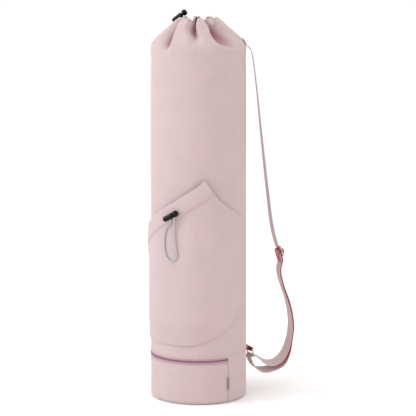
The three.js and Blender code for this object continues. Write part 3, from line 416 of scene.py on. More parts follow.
def add_node(tree, kind, inputs=(), **settings):
    """Adds a node with its settings. Inputs are pairs of a socket and its value, or the socket that
    feeds it."""
    node = tree.nodes.new(kind)
    for key, value in settings.items():
        setattr(node, key, value)
    for key, value in dict(inputs).items():
        if isinstance(value, bpy.types.NodeSocket):
            tree.links.new(value, node.inputs[key])
        else:
            node.inputs[key].default_value = value
    return node


def new_finish(name, sockets):
    """A material with a principled shader whose own sockets are set."""
    finish = bpy.data.materials.new(name)
    finish.use_nodes = True
    tree = finish.node_tree
    shader = tree.nodes["Principled BSDF"]
    for key, value in sockets.items():
        shader.inputs[key].default_value = value
    return finish, tree, shader


def wave_scale(spacing):
    """The scale at which a wave texture's bands lie a spacing apart, in metres."""
    return math.pi / 10 / spacing


def add_waves(tree, coordinates, direction, spacing, distortion=0.0):
    """Bands a spacing apart, as threads or ribs lie."""
    return add_node(tree, "ShaderNodeTexWave", {
        "Vector": coordinates, "Scale": wave_scale(spacing), "Distortion": distortion,
        "Detail": 0.0,
    }, bands_direction=direction).outputs["Fac"]


def add_relief(tree, shader, height, distance, strength=1.0):
    """Ties a height to the shader's normal as a bump."""
    bump = add_node(tree, "ShaderNodeBump", {"Height": height, "Distance": distance, "Strength": strength})
    tree.links.new(bump.outputs["Normal"], shader.inputs["Normal"])


def uv_of(tree):
    """The piece's own UVs, in metres."""
    return add_node(tree, "ShaderNodeUVMap", uv_map="UVMap").outputs["UV"]


def place_of(tree):
    """The object's own coordinates, in metres."""
    return add_node(tree, "ShaderNodeTexCoord").outputs["Object"]


def shaded(tree, face, back):
    """A colour that goes from one to another by the mesh's shade attribute, which draws painted shade."""
    shade = add_node(tree, "ShaderNodeAttribute", attribute_name="shade").outputs["Fac"]
    return add_node(tree, "ShaderNodeMix", {0: shade, 6: face, 7: back}, data_type="RGBA").outputs[2]


def add_tone(tree, shader, base, value, tones, spread=(0.0, 1.0)):
    """Ties a colour to the shader, its brightness going from one tone to the other as a value spreads."""
    tone = add_node(tree, "ShaderNodeMapRange", {
        "Value": value, "From Min": spread[0], "From Max": spread[1],
        "To Min": tones[0], "To Max": tones[1],
    }).outputs["Result"]
    toned = add_node(tree, "ShaderNodeHueSaturation", {"Color": base, "Value": tone}).outputs["Color"]
    tree.links.new(toned, shader.inputs["Base Color"])


# How far apart threads, ribs and strands are drawn, and how deep their relief is.
THREAD_PITCH = 0.9 * MM
TAPE_RIBS = 0.7 * MM
WEBBING_RIBS = 1.6 * MM
SATIN_RIBS = 0.6 * MM
STRAND_PITCH = 0.8 * MM
STRAND_ANGLE = 35
CLOTH_RELIEF = 0.05 * MM
TAPE_RELIEF = 0.12 * MM
CORD_RELIEF = 0.15 * MM
THREAD_RELIEF = 0.05 * MM
# The size of the dyed cloth's clouds, the metal's marks, the plastic's peel and the thread's twist.
CLOUD_SIZE = 40 * MM
MARK_SIZE = 1.2 * MM
MARK_RELIEF = 0.02 * MM
PEEL_SIZE = 0.8 * MM
PEEL_RELIEF = 0.015 * MM
TWIST_SIZE = 0.4 * MM


def peached_polyester(colours):
    """Peached polyester twill: matt, with a soft nap that lightens it at a grazing angle, and painted shade
    down in the gathers: a rosy tone standing in for light bounced between the folds."""
    finish, tree, shader = new_finish("peached_polyester", {
        "Roughness": 0.86, "Specular IOR Level": 0.25,
        "Sheen Weight": 0.22, "Sheen Roughness": 0.5, "Sheen Tint": (1.0, 0.93, 0.94, 1.0),
    })
    where = uv_of(tree)
    # Threads of 0.4 mm are too fine to show, so they are drawn further apart.
    warp = add_waves(tree, where, "X", THREAD_PITCH)
    weft = add_waves(tree, where, "Y", THREAD_PITCH)
    weave = add_node(tree, "ShaderNodeMath", {0: warp, 1: weft}, operation="MULTIPLY").outputs[0]
    # Slow cloudy tone of a dyed cloth.
    cloud = add_node(tree, "ShaderNodeTexNoise", {
        "Vector": where, "Scale": 1 / CLOUD_SIZE, "Detail": 3.0, "Roughness": 0.55,
    }).outputs["Fac"]
    # Painted shade: the fold colour is mixed in by the shade attribute deep in the gathers.
    add_tone(tree, shader, shaded(tree, colours.cloth, colours.fold), cloud, (0.97, 1.03), (0.3, 0.7))
    add_relief(tree, shader, weave, CLOTH_RELIEF, 0.35)
    return finish


def woven_tape(name, face, back, ribs):
    """Woven polyester tape or webbing: ribs along it and picks across it, its colour mixed by the mesh's
    shade towards a second one, which on the strap is painted shade where its layers face each other."""
    finish, tree, shader = new_finish(name, {
        "Roughness": 0.7, "Sheen Weight": 0.15, "Sheen Roughness": 0.4, "Specular IOR Level": 0.35,
    })
    where = uv_of(tree)
    along = add_waves(tree, where, "X", ribs)
    picks = add_waves(tree, where, "Y", ribs * 0.8)
    weave = add_node(tree, "ShaderNodeMath", {0: along, 1: picks}, operation="ADD").outputs[0]
    add_tone(tree, shader, shaded(tree, face, back), weave, (0.93, 1.04), (0.0, 2.0))
    add_relief(tree, shader, weave, TAPE_RELIEF, 0.6)
    return finish


def plated_zinc(colours):
    """Nickel plated die cast zinc: bright, softened by fine tumbling marks."""
    finish, tree, shader = new_finish("plated_zinc", {"Metallic": 1.0, "Base Color": colours.metal})
    marks = add_node(tree, "ShaderNodeTexNoise", {
        "Vector": place_of(tree), "Scale": 1 / MARK_SIZE, "Detail": 4.0,
    })
    rough = add_node(tree, "ShaderNodeMapRange", {
        "Value": marks.outputs["Fac"], "To Min": 0.18, "To Max": 0.38,
    }).outputs["Result"]
    tree.links.new(rough, shader.inputs["Roughness"])
    add_relief(tree, shader, marks.outputs["Fac"], MARK_RELIEF, 0.4)
    return finish


def moulded_acetal(name, base, roughness):
    """Moulded acetal: smooth and glossy, with a faint orange peel."""
    finish, tree, shader = new_finish(name, {
        "Base Color": base, "Roughness": roughness, "Specular IOR Level": 0.2,
    })
    peel = add_node(tree, "ShaderNodeTexNoise", {
        "Vector": place_of(tree), "Scale": 1 / PEEL_SIZE, "Detail": 2.0,
    })
    add_relief(tree, shader, peel.outputs["Fac"], PEEL_RELIEF, 0.5)
    return finish


def braided_cover(colours):
    """Braided polyester cover of an elastic cord: strands that cross over it both ways."""
    finish, tree, shader = new_finish("braided_cover", {
        "Roughness": 0.62, "Sheen Weight": 0.2, "Sheen Roughness": 0.35,
    })
    where = uv_of(tree)
    # Strands of 0.5 mm are drawn further apart too, and lie at an angle to the cord.
    strands = []
    for angle in (STRAND_ANGLE, -STRAND_ANGLE):
        turned = add_node(tree, "ShaderNodeMapping", {
            "Vector": where, "Rotation": (0, 0, math.radians(angle)),
        }).outputs["Vector"]
        strands.append(add_waves(tree, turned, "X", STRAND_PITCH))
    weave = add_node(tree, "ShaderNodeMath", {0: strands[0], 1: strands[1]}, operation="MAXIMUM").outputs[0]
    add_tone(tree, shader, colours.cord, weave, (0.82, 1.05))
    add_relief(tree, shader, weave, CORD_RELIEF, 0.7)
    return finish


def sewing_thread(colours):
    """Polyester sewing thread, a little glossier than the cloth."""
    finish, tree, shader = new_finish("sewing_thread", {
        "Roughness": 0.55, "Sheen Weight": 0.1, "Base Color": colours.thread,
    })
    twist = add_node(tree, "ShaderNodeTexNoise", {
        "Vector": place_of(tree), "Scale": 1 / TWIST_SIZE,
    }).outputs["Fac"]
    add_relief(tree, shader, twist, THREAD_RELIEF, 0.5)
    return finish


def studio_floor(colours):
    """A matt painted floor."""
    finish, tree, shader = new_finish("painted_floor", {"Roughness": 0.9, "Specular IOR Level": 0.2})
    cloud = add_node(tree, "ShaderNodeTexNoise", {"Vector": place_of(tree), "Scale": 1.5}).outputs["Fac"]
    add_tone(tree, shader, colours.floor, cloud, (0.99, 1.01))
    return finish


MAKERS = {
    "cloth": peached_polyester,
    "tape": lambda c: woven_tape("zip_tape", c.tape, c.tape, TAPE_RIBS),
    "coil": lambda c: moulded_acetal("zip_coil_nylon", c.coil, 0.45),
    # The strap's second colour and the tab's deep red are painted shade.
    "webbing": lambda c: woven_tape("strap_webbing_weave", c.strap_face, c.strap_painted_shade, WEBBING_RIBS),
    "tab": lambda c: woven_tape("tab_webbing_weave", c.tab, c.tab, WEBBING_RIBS),
    "tag": lambda c: woven_tape("satin_tag", c.tag, c.tag, SATIN_RIBS),
    "metal": plated_zinc,
    "grip": lambda c: moulded_acetal("moulded_grip", c.grip, 0.4),
    "lock": lambda c: moulded_acetal("moulded_lock", c.lock, 0.22),
    "cord": braided_cover,
    "thread": sewing_thread,
    "floor": studio_floor,
}
finishes = {}


def finish_of(name):
    """A named material, made when it is first asked for."""
    if name not in finishes:
        finishes[name] = MAKERS[name](bpy.context.scene.mat_bag_colours)
    return finishes[name]


# Gathers
Swell = namedtuple("Swell", "up swell")
BARREL_SWELLS = (Swell(0, 0), Swell(0.22, 0.3), Swell(0.5, 0.1), Swell(0.78, 0.35), Swell(1, 0))

# Each fold at the back runs in towards the mouth at its angle, spreads left and right by half widths in
# degrees, is as deep as its share of the whole gather, and narrows by a share towards the rim.
Fold = namedtuple("Fold", "angle left right depth pinch")
BACK_FOLDS = tuple(Fold(*row) for row in (
    (-107, 19, 20, 0.86, 0.2),
    (118, 18, 22, 0.95, 0.2),
    (163, 21, 20, 1.0, 0.25),
    (206, 19, 22, 0.93, 0.2),
))

# The folds at the front bend and change their width on their way to the rim. Each is a table of the share
# of that way, the angles where the fold starts, lies deepest and ends, and its depth there.
FoldRow = namedtuple("FoldRow", "along start deepest end depth")
FRONT_FOLDS = tuple(tuple(FoldRow(*row) for row in rows) for rows in (
    (
        (0.18, -60, -46, -36, 0),
        (0.32, -63, -44, -35, 0.5),
        (0.45, -66, -44, -36, 0.9),
        (0.6, -69, -47, -40, 1),
        (0.8, -76, -55, -48, 0.95),
        (1, -84, -66, -58, 0.9),
    ),
    (
        (0.36, -12, -2, 9, 0),
        (0.5, -15, -3, 8, 0.4),
        (0.62, -20, -5, 5, 0.75),
        (0.75, -28, -7, 0, 1),
        (0.88, -33, -8, -3, 1),
        (1, -34, -9, -3, 1),
    ),
    (
        (0.28, 34, 55, 86, 0),
        (0.34, 29, 46, 87, 0.4),
        (0.42, 23, 36, 87, 0.65),
        (0.52, 20, 30, 85, 0.85),
        (0.65, 18.5, 26, 80, 1),
        (0.75, 20, 26, 62, 1),
        (0.86, 19, 24, 38, 0.9),
        (1, 12, 18, 30, 0.8),
    ),
    (
        (0.72, 34, 43, 56, 0),
        (0.85, 36, 46, 58, 0.6),
        (1, 38, 50, 62, 0.8),
    ),
))
CREST_SHARES = ((1, 0), (0.959, 0.537), (1.203, 0.362))
VALLEY_SHARES = ((1, 0), (1, 0.38), (0.6, 0.6))
VALLEY_RISE = 0.88
# How strong the painted shade in the gathers is, and the share of a fold's depth where it starts.
FOLD_PAINTED_SHADE = 0.85
FOLD_PAINTED_SHADE_FROM = 0.3
BARREL_WAVE = 0.12 * MM
CASING_BULGE = 0.7 * MM
CASING_RUFFLE = 0.55 * MM


def wall_radius(sizes, height):
    """The wall's outer radius, which narrows evenly from the base to the shoulder."""
    share = np.clip(np.asarray(height, float) / sizes.shoulder_height, 0, 1)
    return sizes.base_radius + (sizes.shoulder_radius - sizes.base_radius) * share


def gather_curve(sizes, shares, end_radius, end_rise, along):
    """A cubic Bezier of radius and height from the shoulder to the rim, read at shares of its length."""
    scale = np.array([sizes.shoulder_radius, sizes.gather_height])
    corners = [np.array(share) * scale + [0, sizes.shoulder_height] for share in shares]
    corners.append(np.array([end_radius, sizes.shoulder_height + end_rise * sizes.gather_height]))
    t = np.linspace(0, 1, 401)[:, None]
    curve = (
        (1 - t) ** 3 * corners[0] + 3 * (1 - t) ** 2 * t * corners[1]
        + 3 * (1 - t) * t**2 * corners[2] + t**3 * corners[3]
    )
    run = run_length(curve)
    return np.stack([np.interp(along, run / run[-1], curve[:, axis]) for axis in (0, 1)], -1), run[-1]


def across_fold(angle, start, deepest, end):
    """How far into a fold an angle lies: cos^2 of its share of the way from the deepest line to an edge."""
    away = (angle - deepest + 180) % 360 - 180
    half = np.where(away < 0, deepest - start, end - deepest)
    return np.cos(np.minimum(np.abs(away) / half, 1) * math.pi / 2) ** 2


def fold_depth(angle, along):
    """How deep in a fold a place lies, in the deepest fold where some meet."""
    depth = np.zeros(np.broadcast(angle, along).shape)
    for fold in BACK_FOLDS:
        kept = 1 - fold.pinch * step(along, 0.45, 1)
        start, end = fold.angle - fold.left * kept, fold.angle + fold.right * kept
        across = across_fold(angle, start, fold.angle, end)
        depth = np.maximum(depth, fold.depth * across * step(along, 0, 0.5))
    for rows in FRONT_FOLDS:
        start, deepest, end, most = (
            table_curve(rows, "along", column, along) for column in ("start", "deepest", "end", "depth")
        )
        depth = np.maximum(depth, np.maximum(most, 0) * across_fold(angle, start, deepest, end))
    return depth


def gathers(sizes, angle, along):
    """Points on the gathered cloth's outside: the crest's curve drawn in to the valley's by the fold's
    depth. Also gives that depth."""
    crest, _ = gather_curve(sizes, CREST_SHARES, sizes.mouth_radius, 1, along)
    valley, _ = gather_curve(sizes, VALLEY_SHARES, sizes.hole_radius, VALLEY_RISE, along)
    depth = fold_depth(angle, along)
    place = crest + (valley - crest) * depth[..., None]
    return around(place[..., 0], angle, place[..., 1]), depth


def casing_start(sizes):
    """The share of the gathers' length at which the casing starts."""
    _, whole = gather_curve(sizes, CREST_SHARES, sizes.mouth_radius, 1, np.zeros(1))
    return 1 - sizes.casing_width / whole, sizes.seam / whole


def wall_grid(sizes, columns, barrel_rows, gather_rows):
    """The wall's outside: the barrel with its slow swells and waves, then the gathers up to the casing."""
    angle = np.linspace(0, 360, columns, endpoint=False)[None, :]
    foot = sizes.lower_height + sizes.seam / 2
    height = np.linspace(foot, sizes.shoulder_height, barrel_rows, endpoint=False)[:, None]
    up = (height - foot) / (sizes.shoulder_height - foot)
    swell = table_curve(BARREL_SWELLS, "up", "swell", up) * sizes.cloth
    calm = step(up, 0, 0.08) * (1 - step(up, 0.85, 1))
    waves = (
        np.sin(np.radians(2 * angle + 40) + 9 * up) + 0.7 * np.sin(np.radians(5 * angle + 10) - 14 * up)
        + 0.5 * np.sin(np.radians(9 * angle) + 23 * up + 1)
    )
    radius = wall_radius(sizes, height) + swell + BARREL_WAVE * calm * waves
    barrel = around(radius, angle, height)
    start, gap = casing_start(sizes)
    along = np.linspace(0, start - gap, gather_rows)[:, None]
    top, depth = gathers(sizes, angle, along)
    shade = np.concatenate([np.zeros(barrel.shape[:2]), depth])
    return np.concatenate([barrel, top]), shade


def make_wall(sizes):
    """The bag's wall, from the lower compartment's seam up to the casing."""
    columns, barrel_rows, gather_rows = 400, 50, 90
    face, depth = wall_grid(sizes, columns, barrel_rows, gather_rows)
    normals = grid_normals(face, True)
    middle = face - normals * sizes.cloth / 2
    uv_u = np.linspace(0, 2 * math.pi * sizes.base_radius, columns + 1)
    full, half, turned = rimmed(middle, np.full(middle.shape[:2], sizes.cloth / 2), True, 3)
    run = run_length(full[:, 0])
    uv = np.stack(np.broadcast_arrays(uv_u[None, :], run[:, None]), -1)
    # Painted shade deep in the folds.
    shade = np.pad(fold_painted_shade(depth), ((3, 3), (0, 0)), mode="edge")
    sheets = Sheets()
    lift = turned * half[..., None]
    sheets.add(full + lift, uv, shade, True)
    # The inside needs a quarter of the rows, and all of them at its edges.
    last = len(full) - 4
    kept = np.concatenate([np.arange(4), np.arange(4, last, 4), np.arange(last, len(full))])
    sheets.add((full - lift)[kept], uv[kept], shade[kept], True, turned=True)
    return add_piece("wall", sheets, finish_of("cloth"), "bag", ["main_wall"])


def fold_painted_shade(depth):
    """How much painted shade the cloth takes at a depth in a fold: a rosy tone standing in for light
    bounced between the folds.
    """
    return FOLD_PAINTED_SHADE * step(depth, FOLD_PAINTED_SHADE_FROM, 1)


def make_mouth(sizes):
    """The drawcord's casing: a stitched channel that bulges over the cord and ruffles at the rim."""
    columns, rows = 480, 30
    angle = np.linspace(0, 360, columns, endpoint=False)[None, :]
    start, _ = casing_start(sizes)
    up = np.linspace(0, 1, rows)[:, None]
    face, depth = gathers(sizes, angle, start + (1 - start) * up)
    normals = grid_normals(face, True)
    turns = np.radians(angle)
    ruffle = (
        np.sin(31 * turns + 1.3 * np.sin(5 * turns))
        + 0.6 * np.sin(47 * turns + 2 + 1.1 * np.sin(3 * turns))
    )
    bulge = CASING_BULGE * np.sin(math.pi * np.clip(up / 0.8, 0, 1)) ** 0.7
    lift = bulge + CASING_RUFFLE * ruffle * step(up, 0.05, 1)
    middle = face + normals * (lift - sizes.casing / 2)[..., None]
    sheets = Sheets()
    add_sheet(sheets, middle, sizes.casing, True, fold_painted_shade(depth))
    return add_piece("mouth_channel", sheets, finish_of("cloth"), "bag", ["mouth_casing"])


# Lower compartment
CORNER_SEAM = 45


def lower_grid(sizes, start, end, columns, top, inset=0.0):
    """A stretch of the lower wall: up from the seam half way round the corner to a height."""
    angle = np.linspace(start, end, columns)[None, :]
    bend = np.radians(np.linspace(CORNER_SEAM - 2, 0, 10))[:, None]
    corner = sizes.corner
    low_radius = sizes.base_radius - corner + (corner - inset) * np.cos(bend)
    low_height = corner - (corner - inset) * np.sin(bend)
    height = np.linspace(corner, top, 40)[1:, None]
    radius = np.concatenate([low_radius, wall_radius(sizes, height) - inset])
    return around(radius, angle, np.concatenate([low_height, height]))


def make_lower(sizes):
    """The lower compartment's front and back panels, its base and the divider above it."""
    start, end = math.degrees(sizes.zip_start), math.degrees(sizes.zip_end)
    seam = math.degrees(sizes.seam / sizes.base_radius)
    fold = math.degrees(sizes.cloth / 2 / sizes.base_radius)
    half = sizes.cloth / 2
    zip_foot = sizes.lower_height - sizes.zip_band
    for name, first, last, columns, top in (
        ("lower_front", start, end, 200, zip_foot - sizes.seam / 2),
        ("lower_back", end, start + 360, 220, sizes.lower_height - sizes.seam / 2),
    ):
        first, last = first + seam / 2 + fold, last - seam / 2 - fold
        grid = lower_grid(sizes, first, last, columns, top - half, half)
        sheets = add_sheet(Sheets(), grid, sizes.cloth)
        add_piece(name, sheets, finish_of("cloth"), "bag", [f"{name}_panel"])

    corner, half = sizes.corner, sizes.cloth / 2
    bend = np.radians(np.linspace(90, CORNER_SEAM + 6, 8))
    flat = sizes.base_radius - corner
    radius = np.concatenate([np.linspace(1e-4, flat, 20)[:-1], flat + (corner - half) * np.cos(bend)])
    height = np.concatenate([np.full(19, half), corner - (corner - half) * np.sin(bend)])
    angle = np.linspace(0, 360, 160, endpoint=False)[None, :]
    disc = around(radius[:, None], -angle, height[:, None])
    sheets = add_sheet(Sheets(), disc, sizes.cloth, True)
    add_piece("base", sheets, finish_of("cloth"), "bag", ["base_panel"])

    inner = wall_radius(sizes, sizes.lower_height) - sizes.cloth - sizes.seam - half
    radius = np.linspace(1e-4, inner, 24)[:, None]
    floor = around(radius, angle, sizes.lower_height)
    add_piece("divider", add_sheet(Sheets(), floor, sizes.cloth, True), finish_of("cloth"), "bag",
              ["compartment_divider"])


# Small repeats
def add_copies(sheets, grid, origins, axes):
    """Adds a copy of a small round grid at each origin, its x, y and z turned along that origin's axes."""
    places = origins[:, None, None] + np.einsum("rcx,nxa->nrca", grid, axes)
    for place in places:
        sheets.add(place, is_round=True)
    return sheets


def capsule(length_, radius, sides=6, rings=5):
    """A round-ended bar along x: its radius follows a half ellipse over each end."""
    at = np.linspace(-1, 1, rings)
    width = np.sqrt(np.maximum(1 - np.abs(at) ** 4, 0))
    angle = np.linspace(0, 2 * math.pi, sides, endpoint=False)
    x = np.broadcast_to(at[:, None] * length_ / 2, (rings, sides))
    y = width[:, None] * radius * np.cos(angle)
    z = width[:, None] * radius * np.sin(angle)
    return np.stack([x, y, z], -1)


def line_frames(points, normals, pitch):
    """Places a pitch apart along a line, each with its axes along the line, across it and off the cloth."""
    run = run_length(points)
    count = max(int(run[-1] / pitch), 1)
    at = (np.arange(count) + 0.5) * run[-1] / count
    place, out = read_line(points, run, at), read_line(normals, run, at)
    fine = run[-1] * 1e-3
    way = unit(read_line(points, run, at + fine) - read_line(points, run, at - fine))
    out = unit(out - way * np.sum(out * way, -1, keepdims=True))
    return place, np.stack([way, np.cross(out, way), out], 1)


STITCH_PITCH = 3.0 * MM
STITCH = capsule(2.3 * MM, 0.24 * MM)


def sew(sheets, points, normals, lift=0.05 * MM):
    """Sews a row of stitches along a line on the cloth."""
    places, axes = line_frames(points, normals, STITCH_PITCH)
    return add_copies(sheets, STITCH, places + axes[:, 2] * lift, axes)


# Pocket
PocketRow = namedtuple("PocketRow", "across foot top stand")
POCKET_OUTLINE = tuple(PocketRow(*row) for row in (
    (0, 0.014, 0.525, 0),
    (0.07, 0.009, 0.568, 0.08),
    (0.17, 0.005, 0.627, 0.28),
    (0.326, 0.002, 0.716, 0.56),
    (0.474, 0, 0.797, 0.6),
    (0.553, 0.009, 0.845, 0.56),
    (0.634, 0.027, 0.889, 0.5),
    (0.683, 0.044, 0.927, 0.42),
    (0.743, 0.068, 0.869, 0.24),
    (0.82, 0.107, 0.826, 0.1),
    (0.9, 0.147, 0.79, 0.04),
    (1, 0.164, 0.736, 0),
))
ChannelRow = namedtuple("ChannelRow", "along low_across low_up high_across high_up")
POCKET_CHANNEL = tuple(ChannelRow(*row) for row in (
    (0, 0, 0.525, 0, 0.637),
    (0.25, 0.17, 0.627, 0.15, 0.72),
    (0.48, 0.326, 0.716, 0.29, 0.797),
    (0.7, 0.474, 0.797, 0.43, 0.873),
    (0.81, 0.553, 0.845, 0.502, 0.916),
    (0.92, 0.634, 0.889, 0.575, 0.959),
    (1, 0.683, 0.927, 0.628, 1),
))
# The middle of each dent as shares of the pocket's width and height, its half sizes in the same
# shares, and its depth as a share of the bulge.
Dent = namedtuple("Dent", "across up half_across half_up depth")
POCKET_DENTS = tuple(Dent(*row) for row in (
    (0.47, 0.63, 0.085, 0.2, 0.24),
    (0.33, 0.52, 0.1, 0.24, -0.12),
    (0.63, 0.42, 0.14, 0.2, 0.1),
    (0.9, 0.2, 0.1, 0.04, 0.22),
))
SWELL_ROOM = 0.35
POCKET_CHANNEL_THICKNESS = 3 * MM
STAND_AT_MOUTH = 0.88
# The share of the pocket's height at which its belly starts to fade.
BELLY_SHARE = 0.35
CHANNEL_BULGE = 0.5 * MM
CHANNEL_RUFFLE = 0.6 * MM


def pocket_stand(sizes, across, up):
    """How far the pocket's back stands off the wall: a belly that fades into the edge's own stand, less
    the dents."""
    foot = table_curve(POCKET_OUTLINE, "across", "foot", across)
    top = table_line(POCKET_OUTLINE, "across", "top", across)
    edge = table_curve(POCKET_OUTLINE, "across", "stand", across)
    hug = step(across, -0.02, 0.3) * step(1 - across, 0, 0.3)
    belly = hug * np.sin(math.pi * np.clip(across, 0, 1)) ** 0.7
    rise = step(up - foot, -0.02, 0.16)
    middle = foot + (top - foot) * BELLY_SHARE
    fade = step((up - middle) / (top - middle), 0, 1)
    stand = sizes.pocket_bulge * (belly * rise * (1 - fade) + edge * fade)
    for dent in POCKET_DENTS:
        x = (across - dent.across) / dent.half_across
        y = (up - dent.up) / dent.half_up
        stand = stand - sizes.pocket_bulge * dent.depth * np.maximum(1 - x * x - y * y, 0) ** 2
    return np.maximum(stand, 0)


def pocket_place(sizes, across, up, stand, outset):
    """Points at a share across and up the pocket, a stand and an outset off the wall."""
    height = sizes.pocket_foot + up * sizes.pocket_height
    clear = SWELL_ROOM * sizes.cloth + sizes.seam
    angle = np.degrees(sizes.pocket_left + (sizes.pocket_right - sizes.pocket_left) * across)
    return around(wall_radius(sizes, height) + clear + stand + outset, angle, height)


def pocket_panel_grid(sizes, columns, rows, outset):
    """The pocket's panel between its foot and its upper edge."""
    across = np.linspace(0, 1, columns)[None, :]
    rise = np.linspace(0, 1, rows)[:, None]
    foot = table_curve(POCKET_OUTLINE, "across", "foot", across)
    top = table_line(POCKET_OUTLINE, "across", "top", across)
    up = foot + (top - foot) * rise
    across = np.broadcast_to(across, up.shape)
    return pocket_place(sizes, across, up, pocket_stand(sizes, across, up), outset)


def pocket_channel_grid(sizes, columns, rows, outset):
    """The channel for the pocket's elastic, from the panel's upper edge to the ruffled mouth."""
    along = np.linspace(0, 1, columns)[None, :]
    climb = np.linspace(0.012, 1, rows)[:, None]
    low_across, low_up, high_across, high_up = (
        table_curve(POCKET_CHANNEL, "along", column, along) for column in ChannelRow._fields[1:]
    )
    across = low_across + (high_across - low_across) * climb
    up = low_up + (high_up - low_up) * climb
    ruffle = np.sin(2 * math.pi * 9 * along) + 0.7 * np.sin(2 * math.pi * 17 * along + 1)
    cinched = step(along, 0.75, 0.98) * (1 - step(along, 0.985, 1)) + 0.25
    bulge = CHANNEL_BULGE * np.sin(math.pi * climb)
    stand = pocket_stand(sizes, low_across, low_up) * (1 + (STAND_AT_MOUTH - 1) * climb)
    lift = CHANNEL_RUFFLE * ruffle * cinched * climb**2 * np.sin(math.pi * along) ** 0.3
    return pocket_place(sizes, across, up, np.maximum(stand + lift, 0) + bulge, outset)


def make_pocket(sizes):
    """The front pocket: its panel and the channel round its mouth."""
    half = sizes.cloth / 2
    panel = pocket_panel_grid(sizes, 200, 150, half)
    add_piece("pocket_front", add_sheet(Sheets(), panel, sizes.cloth), finish_of("cloth"), "bag",
              ["pocket_panel"])
    thick = POCKET_CHANNEL_THICKNESS
    channel = pocket_channel_grid(sizes, 260, 24, thick / 2)
    add_piece("pocket_channel", add_sheet(Sheets(), channel, thick * 0.9), finish_of("cloth"), "bag",
              ["pocket_casing"])


# Strap: how far the webbing's middle stands out of the wall as a share of the strap's reach, and its
# height over the lower compartment as a share of the height from there to the rim.
StrapRow = namedtuple("StrapRow", "out up")
STRAP_DOWN = tuple(StrapRow(*row) for row in (
    (0.034, 0.9145), (0.064, 0.911), (0.095, 0.905), (0.117, 0.895), (0.142, 0.874), (0.17, 0.84),
    (0.2, 0.8), (0.235, 0.752), (0.283, 0.68), (0.336, 0.608), (0.391, 0.535), (0.454, 0.461),
    (0.529, 0.38),
))
STRAP_OUTER = tuple(StrapRow(*row) for row in (
    (0.7, 0.232), (0.752, 0.187), (0.86, 0.14), (0.95, 0.092), (1, 0.047), (0.995, 0.006),
    (0.945, -0.034), (0.82, -0.066), (0.63, -0.079), (0.42, -0.083), (0.26, -0.074), (0.165, -0.055),
    (0.125, -0.035),
))
STRAP_INNER = tuple(StrapRow(*row) for row in (
    (0.3, -0.04), (0.44, -0.057), (0.59, -0.064), (0.745, -0.057), (0.885, -0.034), (0.972, 0.006),
    (0.976, 0.046), (0.928, 0.089), (0.838, 0.136), (0.73, 0.184), (0.677, 0.231),
))
# Where the strap's plane lies at a height, in degrees from +X towards the back, and how far the webbing
# rolls to show its upper side.
StrapTurn = namedtuple("StrapTurn", "up azimuth")
STRAP_TURNS = tuple(StrapTurn(*row) for row in (
    (-0.1, 20), (0, 20.3), (0.08, 15.5), (0.16, 10.5), (0.22, 12.5), (0.255, 13.9), (0.33, 13.9),
    (0.39, 11.8), (0.46, 10.2), (0.61, 6.6), (0.75, 3), (0.87, 1), (1, -1.7),
))
LOOP_ROLL = 15
METAL_WIDTH = 32 * MM
RING_WIRE = 2.6 * MM
RING_SPAN = 14.6 * MM
RING_LEAN = 16
SLIDER_THICKNESS = 2.2 * MM
SLIDER_BAR = 2.8 * MM
SLIDER_HEIGHT = 0.258
SLIDER_OUT = 0.715
SLIDER_LEAN = 17
SEWN_TAIL = 22 * MM
LAYER_GAP = 0.35 * MM
RING_OUT = 0.132
RING_DROP = 6.5 * MM
# The loop rolls where it stands out this far, up to this height.
ROLL_OUT = (0.103, 0.125)
ROLL_UP = (0.07, 0.12)
# How far from the slider's middle the layers meet its bar, run straight, and start to bend.
SLIDER_BEND = 1.3 * MM
SLIDER_NEAR = 5.5 * MM
SLIDER_FAR = 12 * MM
SLIDER_START = 14 * MM
SLIDER_CORNER = 0.9 * MM
# Where the webbing lies sewn to a crest of the gathers, as shares of the way to the rim, and the step
# that gives its way there.
SEWN_SHARES = (0.46, 0.41, 0.36)
SEWN_STEP = 0.004
# Small steps by which the webbing eases in and out at the slider.
EASE = 0.1 * MM
EASE_NEAR = 0.2 * MM
EASE_TAIL = 0.4 * MM
EASE_START = 0.6 * MM
# The rounding of the webbing's edges and of its cut ends.
WEBBING_EDGE = 0.5 * MM
WEBBING_CAP = 0.3 * MM
# From and to which angles the webbing goes round a bar of the ring.
ARRIVES, LEAVES, ROUND_FOOT, ROUND_TOP = (190, 150), (25, 0), (125, 45), (75, -90)
# Stretches further apart than this along the webbing are two layers.
SAME_LAYER = 0.04


def strap_places(sizes, rows):
    """Each row's distance from the bag's axis and height."""
    height = sizes.lower_height + np.array([row.up for row in rows]) * (RIM_TOP - sizes.lower_height)
    out = wall_radius(sizes, height) + np.array([row.out for row in rows]) * sizes.strap_reach
    return np.stack([out, height], -1)


def strap_axes(sizes, height):
    """The strap's plane at a height: the way out of the bag and the way across the webbing."""
    up = (np.asarray(height) - sizes.lower_height) / (RIM_TOP - sizes.lower_height)
    azimuth = np.radians(table_curve(STRAP_TURNS, "up", "azimuth", up))
    nothing = np.zeros_like(azimuth)
    return (
        np.stack([np.cos(azimuth), np.sin(azimuth), nothing], -1),
        np.stack([-np.sin(azimuth), np.cos(azimuth), nothing], -1),
    )


def strap_points(sizes, places):
    """Places in the strap's plane as points, with the way across the webbing at each, which rolls towards
    the camera's side at the foot of the loop."""
    places = np.asarray(places, float)
    out, across = strap_axes(sizes, places[:, 1])
    roll = np.radians(LOOP_ROLL) * step(places[:, 0], *ROLL_OUT) * (1 - step(places[:, 1], *ROLL_UP))
    across = across * np.cos(roll)[:, None] + np.array([0, 0, 1]) * np.sin(roll)[:, None]
    return out * places[:, :1] + np.array([0, 0, 1]) * places[:, 1:], across


def plane_turn(lean, down, out):
    """A step down a lean and out from the bag, as a step in the strap's plane."""
    angle = math.radians(lean)
    return np.array([
        down * math.sin(angle) + out * math.cos(angle), -down * math.cos(angle) + out * math.sin(angle),
    ])


